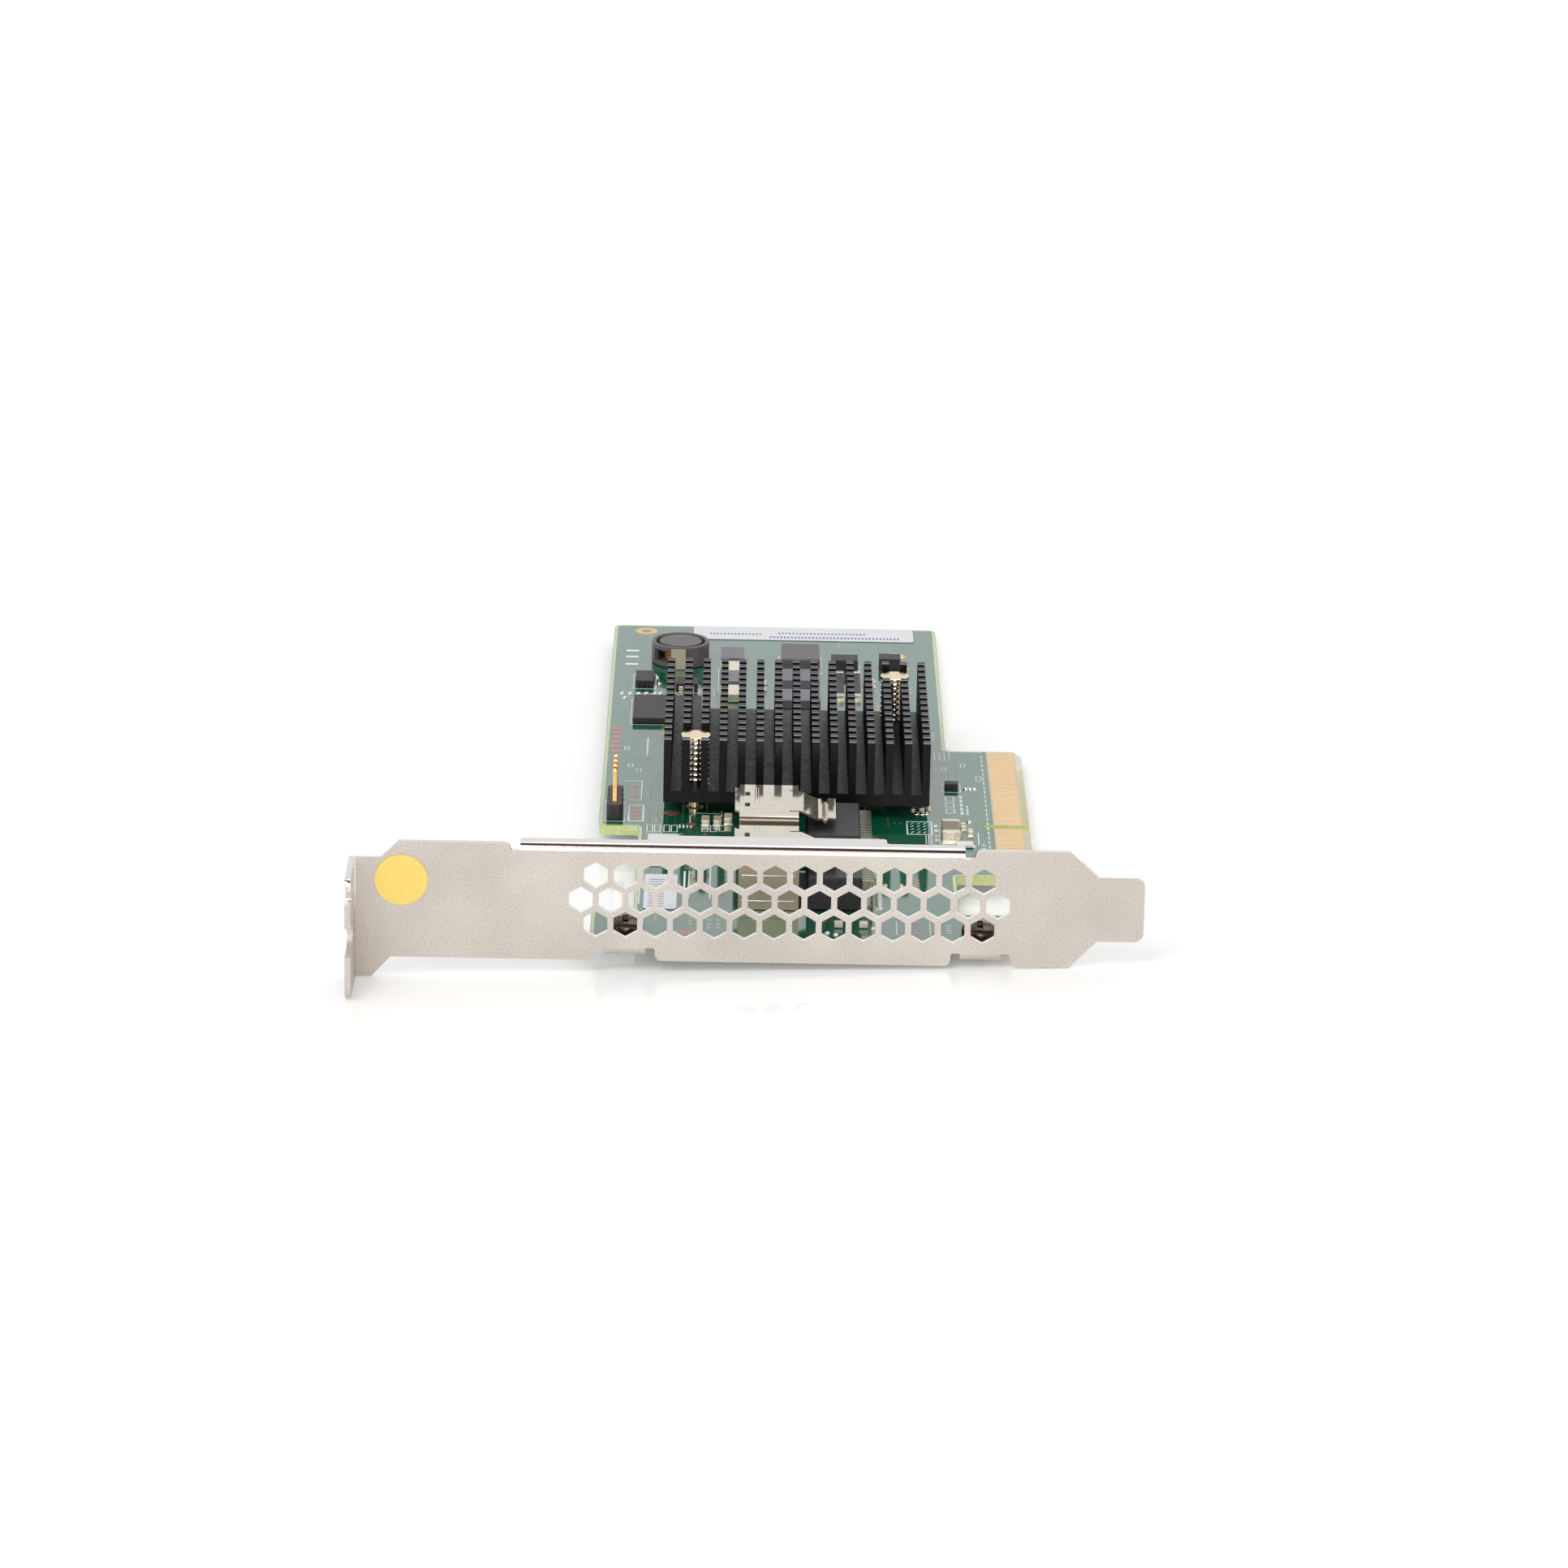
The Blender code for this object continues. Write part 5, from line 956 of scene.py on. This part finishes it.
# They come by group: (x, y, length, width, height, turn) and, where it isn't the usual, the end cap
chipGroups = {
    "small_resistors": ("sparkedEpoxyMoulding", [
        (88.0, 65.6, 1.6, 0.8, 0.5, 90), (86.6, 65.4, 1.0, 0.5, 0.35, 90),
        (47.0, 126.0, 1.6, 0.8, 0.45, 0), (50.0, 120.4, 1.6, 0.8, 0.45, 90),
        (53.0, 138.5, 1.6, 0.8, 0.45, 90), (80.6, 133.0, 1.6, 0.8, 0.45, 0),
        (80.6, 136.0, 1.6, 0.8, 0.45, 0), (86.0, 136.5, 1.6, 0.8, 0.45, 90),
        (89.4, 128.0, 1.0, 0.5, 0.35, 90), (89.4, 125.0, 1.0, 0.5, 0.35, 90),
        (64.0, 56.0, 1.0, 0.5, 0.35, 0), (81.5, 27.0, 1.0, 0.5, 0.35, 90),
        (84.0, 27.0, 1.0, 0.5, 0.35, 90), (86.5, 24.0, 1.0, 0.5, 0.35, 0),
    ]),
    "power_capacitors": ("sparkedEpoxyMoulding", [
        (75.45, 131.6, 14.4, 1.5, 1.0, 90, 0.55), (78.25, 131.7, 14.4, 1.5, 1.0, 90, 0.55),
        (62.35, 131.5, 2.4, 1.3, 1.0, 90, 0.5),
    ]),
    "small_capacitors": ("firedCreamCeramic", [
        (94.45, 56.7, 2.2, 0.8, 0.6, 90), (95.5, 53.4, 1.6, 0.8, 0.8, 90), (89.2, 66.0, 1.0, 0.5, 0.5, 90),
        (62.0, 126.8, 1.6, 0.8, 0.8, 90), (60.4, 60.0, 1.0, 0.5, 0.5, 0),
    ]),
}
# The larger capacitors that lie along y, with the length of their end caps. A cap is wider and higher
# than the capacitor and stands out past its end; the fillet's height is a share of the capacitor's.
endCaps = {"filter_capacitor_left": 0.55, "filter_capacitor_middle": 0.55, "filter_capacitor_right": 0.6,
           "bulk_capacitor": 1.0}
endLook = {"wider": 0.1, "higher": 0.06, "corner": 0.16, "out": 0.06, "sunk": 0.01, "filletWider": 0.2,
           "filletLonger": 0.3, "filletHeight": 0.3, "filletCorner": 0.2, "flare": 0.1}
# The tank capacitor's pale far end, and the polymer capacitor's two near tabs
coverLook = {"wider": 0.08, "higher": 0.05, "length": 5.6, "out": 0.02, "corner": 0.2, "edge": 0.16,
             "tabWidth": 0.8, "tabLength": 0.9, "tabHeight": 1.1, "tabCorner": 0.12, "tabIn": 0.95,
             "tabBack": 0.1}


# A body between two caps, whose middles lie half a cap's length inside the chip's ends; the fillets' middles
# lie a little past the ends
def chipShapes(x, y, length, width, height, turn, endCap=chipLook["endCap"]):
    look = chipLook
    body = pillow(length - 2 * endCap, width, height * look["bodyHeight"], look["bodyCorner"],
                  look["bodyEdge"], 2, 2)
    cap = pillow(endCap * 2, width * look["capWidth"], height, look["capCorner"], look["capCorner"], 2, 2)
    corner = look["filletCorner"]
    fillet = pillow(endCap * 2, width * look["filletWidth"], height * look["filletHeight"], corner, corner,
                    2, 2, flare=corner)
    capAt, filletAt = length / 2 - endCap, length / 2 + endCap * look["filletOut"]
    ends = [copies(cap, [(-capAt, 0, look["capLift"]), (capAt, 0, look["capLift"])]),
            copies(fillet, [(-filletAt, 0, 0), (filletAt, 0, 0)])]
    place = [(x, y, boardTop)]
    return copies(copies(body, [(0, 0, look["bodyLift"])]), place, turn), copies(gather(ends), place, turn)


def makeChips():
    terminals = []
    for name, (material, chips) in chipGroups.items():
        bodies = []
        for chip in chips:
            body, ends = chipShapes(*chip)
            bodies.append(body)
            terminals.append(ends)
        addPiece(name, gather(bodies), material)
    look = endLook
    for name, cap in endCaps.items():
        low, high = cardBox(name)
        x, (width, _, height) = (low[0] + high[0]) / 2, high - low
        end = pillow(width + look["wider"], cap, height + look["higher"], look["corner"], look["corner"])
        fillet = pillow(width + look["filletWider"], cap + look["filletLonger"],
                        height * look["filletHeight"], look["filletCorner"], look["filletCorner"],
                        3, 2, look["flare"])
        for y in (low[1] + cap / 2 - look["out"], high[1] - cap / 2 + look["out"]):
            terminals += [copies(end, [(x, y, low[2] - look["sunk"])]), copies(fillet, [(x, y, boardTop)])]
    addPiece("chip_terminals", gather(terminals), "creamTerminal")
    sunk, look = endLook["sunk"], coverLook
    low, high = cardBox("tank_capacitor_middle")
    width, _, height = high - low
    cover = pillow(width + look["wider"], look["length"], height + look["higher"], look["corner"],
                   look["edge"])
    coverY = high[1] - look["length"] / 2 + look["out"]
    tabs = [copies(cover, [((low[0] + high[0]) / 2, coverY, low[2] - sunk)])]
    low, high = cardBox("polymer_capacitor")
    tab = pillow(look["tabWidth"], look["tabLength"], look["tabHeight"], look["tabCorner"], look["tabCorner"],
                 3, 2)
    tabs.append(copies(tab, [(x, low[1] + look["tabBack"], boardTop)
                             for x in (low[0] + look["tabIn"], high[0] - look["tabIn"])]))
    addPiece("cream_tabs", gather(tabs), "creamTerminal")


makeChips()


# Port cages: a rib pressed in each roof and two in each side wall, measured from the cage's left wall,
# the middle of its depth and the roof's face
cageLook = {"wallIn": 0.75, "roofIn": 0.25, "ribX": 2.8, "ribShift": 0.6, "ribLength": 12.0, "ribWidth": 0.74,
            "ribHeight": 0.06, "wallRibX": 4.6, "wallRibLength": 8.4, "wallRibWidth": 0.3,
            "wallRibHeight": 0.13, "wallRibLevels": (5.6, 1.5)}


# Turns a shape that stands on z so that it stands out from a wall: side -1 faces the bracket, 1 the far end
def standOnWall(shape, side):
    points, faces = shape
    x, y, z = points.T
    return np.stack([x, side * z, -side * y], -1), faces


def makeCageRibs(end):
    look = cageLook
    low, high = cardBox("port_cage_" + end)
    left, middle = low[0] + look["wallIn"], (low[1] + high[1]) / 2
    rib = stadiumRidge(look["ribLength"], look["ribWidth"], look["ribHeight"])
    place = (left + look["ribX"], middle + look["ribShift"], high[2] - look["roofIn"])
    addPiece("cage_roof_rib_" + end, copies(rib, [place], 90), "tinnedPortCage")
    wallRib = stadiumRidge(look["wallRibLength"], look["wallRibWidth"], look["wallRibHeight"])
    x = left + look["wallRibX"]
    ribs = [copies(standOnWall(wallRib, side), [(x, y, boardTop + level)])
            for side, y in ((-1, low[1]), (1, high[1])) for level in look["wallRibLevels"]]
    # The wall ribs take the bright solder finish instead of the wall's shaded one: a painted highlight, so
    # they show as bright lines
    addPiece("cage_wall_ribs_" + end, gather(ribs), "brightSolder")


# Low mounds of solder under the ports' leads
leadLook = {"count": 18, "pitch": 0.8, "footReach": 0.9, "length": 1.5, "width": 0.5, "corner": 0.1,
            "rise": 0.09}


def makeLeadPads(end):
    look = leadLook
    low, high = cardBox("port_housing_" + end)
    steps = np.arange(look["count"]) - (look["count"] - 1) / 2
    ys = (low[1] + high[1]) / 2 + steps * look["pitch"]
    x = high[0] - look["footReach"] + look["length"] / 2
    pad = flatPad(look["length"], look["width"], look["corner"], look["rise"])
    addPiece("port_pads_" + end, copies(pad, onBoard([(x, y) for y in ys])), "brightSolder")


for end in ("near", "far"):
    makeCageRibs(end)
    makeLeadPads(end)


# Labels: rows of plain bars. On two labels each bar runs along x; on the far one short upright bars make
# up rows, which are given as (start, end, y, height) from the label's near left corner.
labelLook = {
    "bar": 0.32, "sunk": 0.01, "rise": 0.012, "step": 0.62,
    "flat": {"label_near": {"from": 0.7, "to": 3.1, "near": 1.2, "far": 1.5, "pitch": 1.15},
             "label_middle": {"from": 0.8, "to": 3.6, "near": 1.2, "far": 1.0, "pitch": 1.6}},
    "rows": ((13.5, 36.0, 1.0, 1.2), (3.0, 12.0, 2.8, 0.9), (15.0, 30.0, 3.6, 0.9)),
}


# One bar from a start to an end, let a little into the label's face at height z
def labelBar(start, end, z):
    return strip([start, end], labelLook["bar"], z - labelLook["sunk"], z + labelLook["rise"])


def makeLabelBars():
    look = labelLook
    shapes = []
    for name, row in look["flat"].items():
        low, high = cardBox(name)
        shapes += [labelBar((low[0] + row["from"], y), (low[0] + row["to"], y), high[2])
                   for y in np.arange(low[1] + row["near"], high[1] - row["far"], row["pitch"])]
    low, high = cardBox("label_far")
    for start, end, y, height in look["rows"]:
        shapes += [labelBar((x, low[1] + y), (x, low[1] + y + height), high[2])
                   for x in np.arange(low[0] + start, low[0] + end, look["step"])]
    addPiece("label_bars", gather(shapes), "labelInk")


makeLabelBars()
print("small parts made")


# Camera: fitted to the photograph's bracket corners, key slot and board corners
cameraLook = {"place": (-2.126, -982.09, 323.95), "pitch": -0.312693, "yaw": -0.008134, "roll": -0.020186,
              "focalPixels": 7804.8, "imagePixels": 1932, "sensor": 36.0, "nearest": 0.05, "farthest": 20.0}


# Links a new object to the scene
def addObject(name, data):
    made = bpy.data.objects.new(name, data)
    bpy.context.scene.collection.objects.link(made)
    return made


def makeCamera():
    look = cameraLook
    data = bpy.data.cameras.new("camera")
    data.sensor_width = look["sensor"]
    data.lens = look["focalPixels"] / look["imagePixels"] * look["sensor"]
    data.clip_start, data.clip_end = look["nearest"], look["farthest"]
    camera = addObject("camera", data)
    turn = Matrix.Rotation(look["yaw"], 4, "Z") @ Matrix.Rotation(look["pitch"], 4, "X")
    turn = turn @ Matrix.Rotation(look["roll"], 4, "Y") @ Matrix.Rotation(math.pi / 2, 4, "X")
    camera.matrix_world = Matrix.Translation(Vector(look["place"]) * millimetre) @ turn
    bpy.context.scene.camera = camera


# Floor: a glossy white sheet, tilted so that the tab's corner, the bracket's right corner and a push
# pin's end rest on it. The camera and reflections see it lifted to white, least near the card, where its
# shadow stays.
floorLook = {"slopeX": 0.03005, "slopeY": 0.0125, "under": -3.30, "size": 3.0, "albedo": 0.92,
             "liftNear": 0.17, "liftFar": 0.4, "reachNear": 0.1, "reachFar": 0.2, "roughness": 0.06,
             "specular": 0.5}


def makeFloor():
    look = floorLook
    half = look["size"] / 2
    corners = np.array([(-half, -half), (half, -half), (half, half), (-half, half)])
    card = corners / millimetre - datum[:2] / millimetre
    level = look["under"] + look["slopeX"] * card[:, 0] + look["slopeY"] * card[:, 1]
    level = level * millimetre + datum[2]
    mesh = bpy.data.meshes.new("floor")
    mesh.from_pydata(np.insert(corners, 2, level, 1).tolist(), [], [(0, 1, 2, 3)])
    floor = addObject("floor", mesh)
    material, shader, add, position = newMaterial("whiteGlossSheet")
    fill(shader, {"Roughness": look["roughness"], "Specular IOR Level": look["specular"],
                  "Base Color": (look["albedo"],) * 3 + (1.0,)})
    path = add("LightPath").node.outputs
    seen = add("Math", {"operation": "MAXIMUM", 0: path["Is Camera Ray"], 1: path["Is Glossy Ray"]})
    seen = add("Math", {"operation": "MAXIMUM", 0: seen, 1: path["Is Transmission Ray"]})
    away = add("VectorMath", {"operation": "LENGTH", 0: position}, "Value")
    lift = add("MapRange", {0: away, 1: look["reachNear"], 2: look["reachFar"],
                            3: look["liftNear"], 4: look["liftFar"]})
    glow = add("Emission", {"Strength": add("Math", {"operation": "MULTIPLY", 0: seen, 1: lift})})
    output = material.node_tree.nodes["Material Output"]
    fill(output, {"Surface": add("AddShader", {0: shader.outputs[0], 1: glow})})
    mesh.materials.append(material)


# World and lamps. Diffuse light is an even white tent. Mirrored light follows the direction's turn from
# the back horizon over the top to the front: a pale back wall, a dark brown gap overhead, a white front.
# Lamps shine at the origin; places are in metres, powers in watts and turns in degrees.
lightLook = {
    "tent": 0.62, "white": "#FFFFFF", "backWall": "#E9EBEC", "gap": "#4A342C", "front": "#FFFFFF",
    "gapStart": 80.0, "gapEnd": 122.0, "soft": 4.0,
    "lamps": {
        "keyLamp": {"place": (-0.35, -0.55, 0.75), "size": 0.5, "power": 2.4},
        "topLamp": {"place": (0.25, 0.45, 0.8), "size": 0.6, "power": 1.3},
        "frontLamp": {"place": (0.1, -1.1, 0.35), "size": 0.5, "power": 2.3},
    },
}


def makeLights():
    look = lightLook
    world = bpy.data.worlds.new("whiteTent")
    world.use_nodes = True
    bpy.context.scene.world = world
    add = partial(addNode, world.node_tree)
    path = add("LightPath").node.outputs
    mirrored = add("Math", {"operation": "MAXIMUM", 0: path["Is Glossy Ray"], 1: path["Is Transmission Ray"]})
    seen = add("Math", {"operation": "MAXIMUM", 0: path["Is Camera Ray"], 1: mirrored})
    direction = add("SeparateXYZ", {0: add("TexCoord", output="Object")}).node.outputs
    turn = add("Math", {"operation": "ARCTAN2", 0: direction["Z"], 1: direction["Y"]})
    tent, soft = look["backWall"], math.radians(look["soft"])
    for edge, colour in (("gapStart", "gap"), ("gapEnd", "front")):
        middle = math.radians(look[edge])
        past = add("MapRange", {0: turn, 1: middle - soft, 2: middle + soft})
        tent = add("Mix", {"data_type": "RGBA", 0: past, 6: tent, 7: look[colour]}, 2)
    fill(world.node_tree.nodes["Background"], {
        "Color": add("Mix", {"data_type": "RGBA", 0: mirrored, 6: look["white"], 7: tent}, 2),
        "Strength": add("MapRange", {0: seen, 3: look["tent"], 4: 1.0}),
    })
    for name, lamp in look["lamps"].items():
        data = bpy.data.lights.new(name, "AREA")
        data.size, data.energy = lamp["size"], lamp["power"]
        light = addObject(name, data)
        light.location = lamp["place"]
        light.rotation_euler = (-Vector(lamp["place"])).to_track_quat("-Z", "Y").to_euler()


makeCamera()
makeFloor()
makeLights()
bpy.context.scene.view_settings.view_transform = "Standard"
print("camera, floor and lights made")
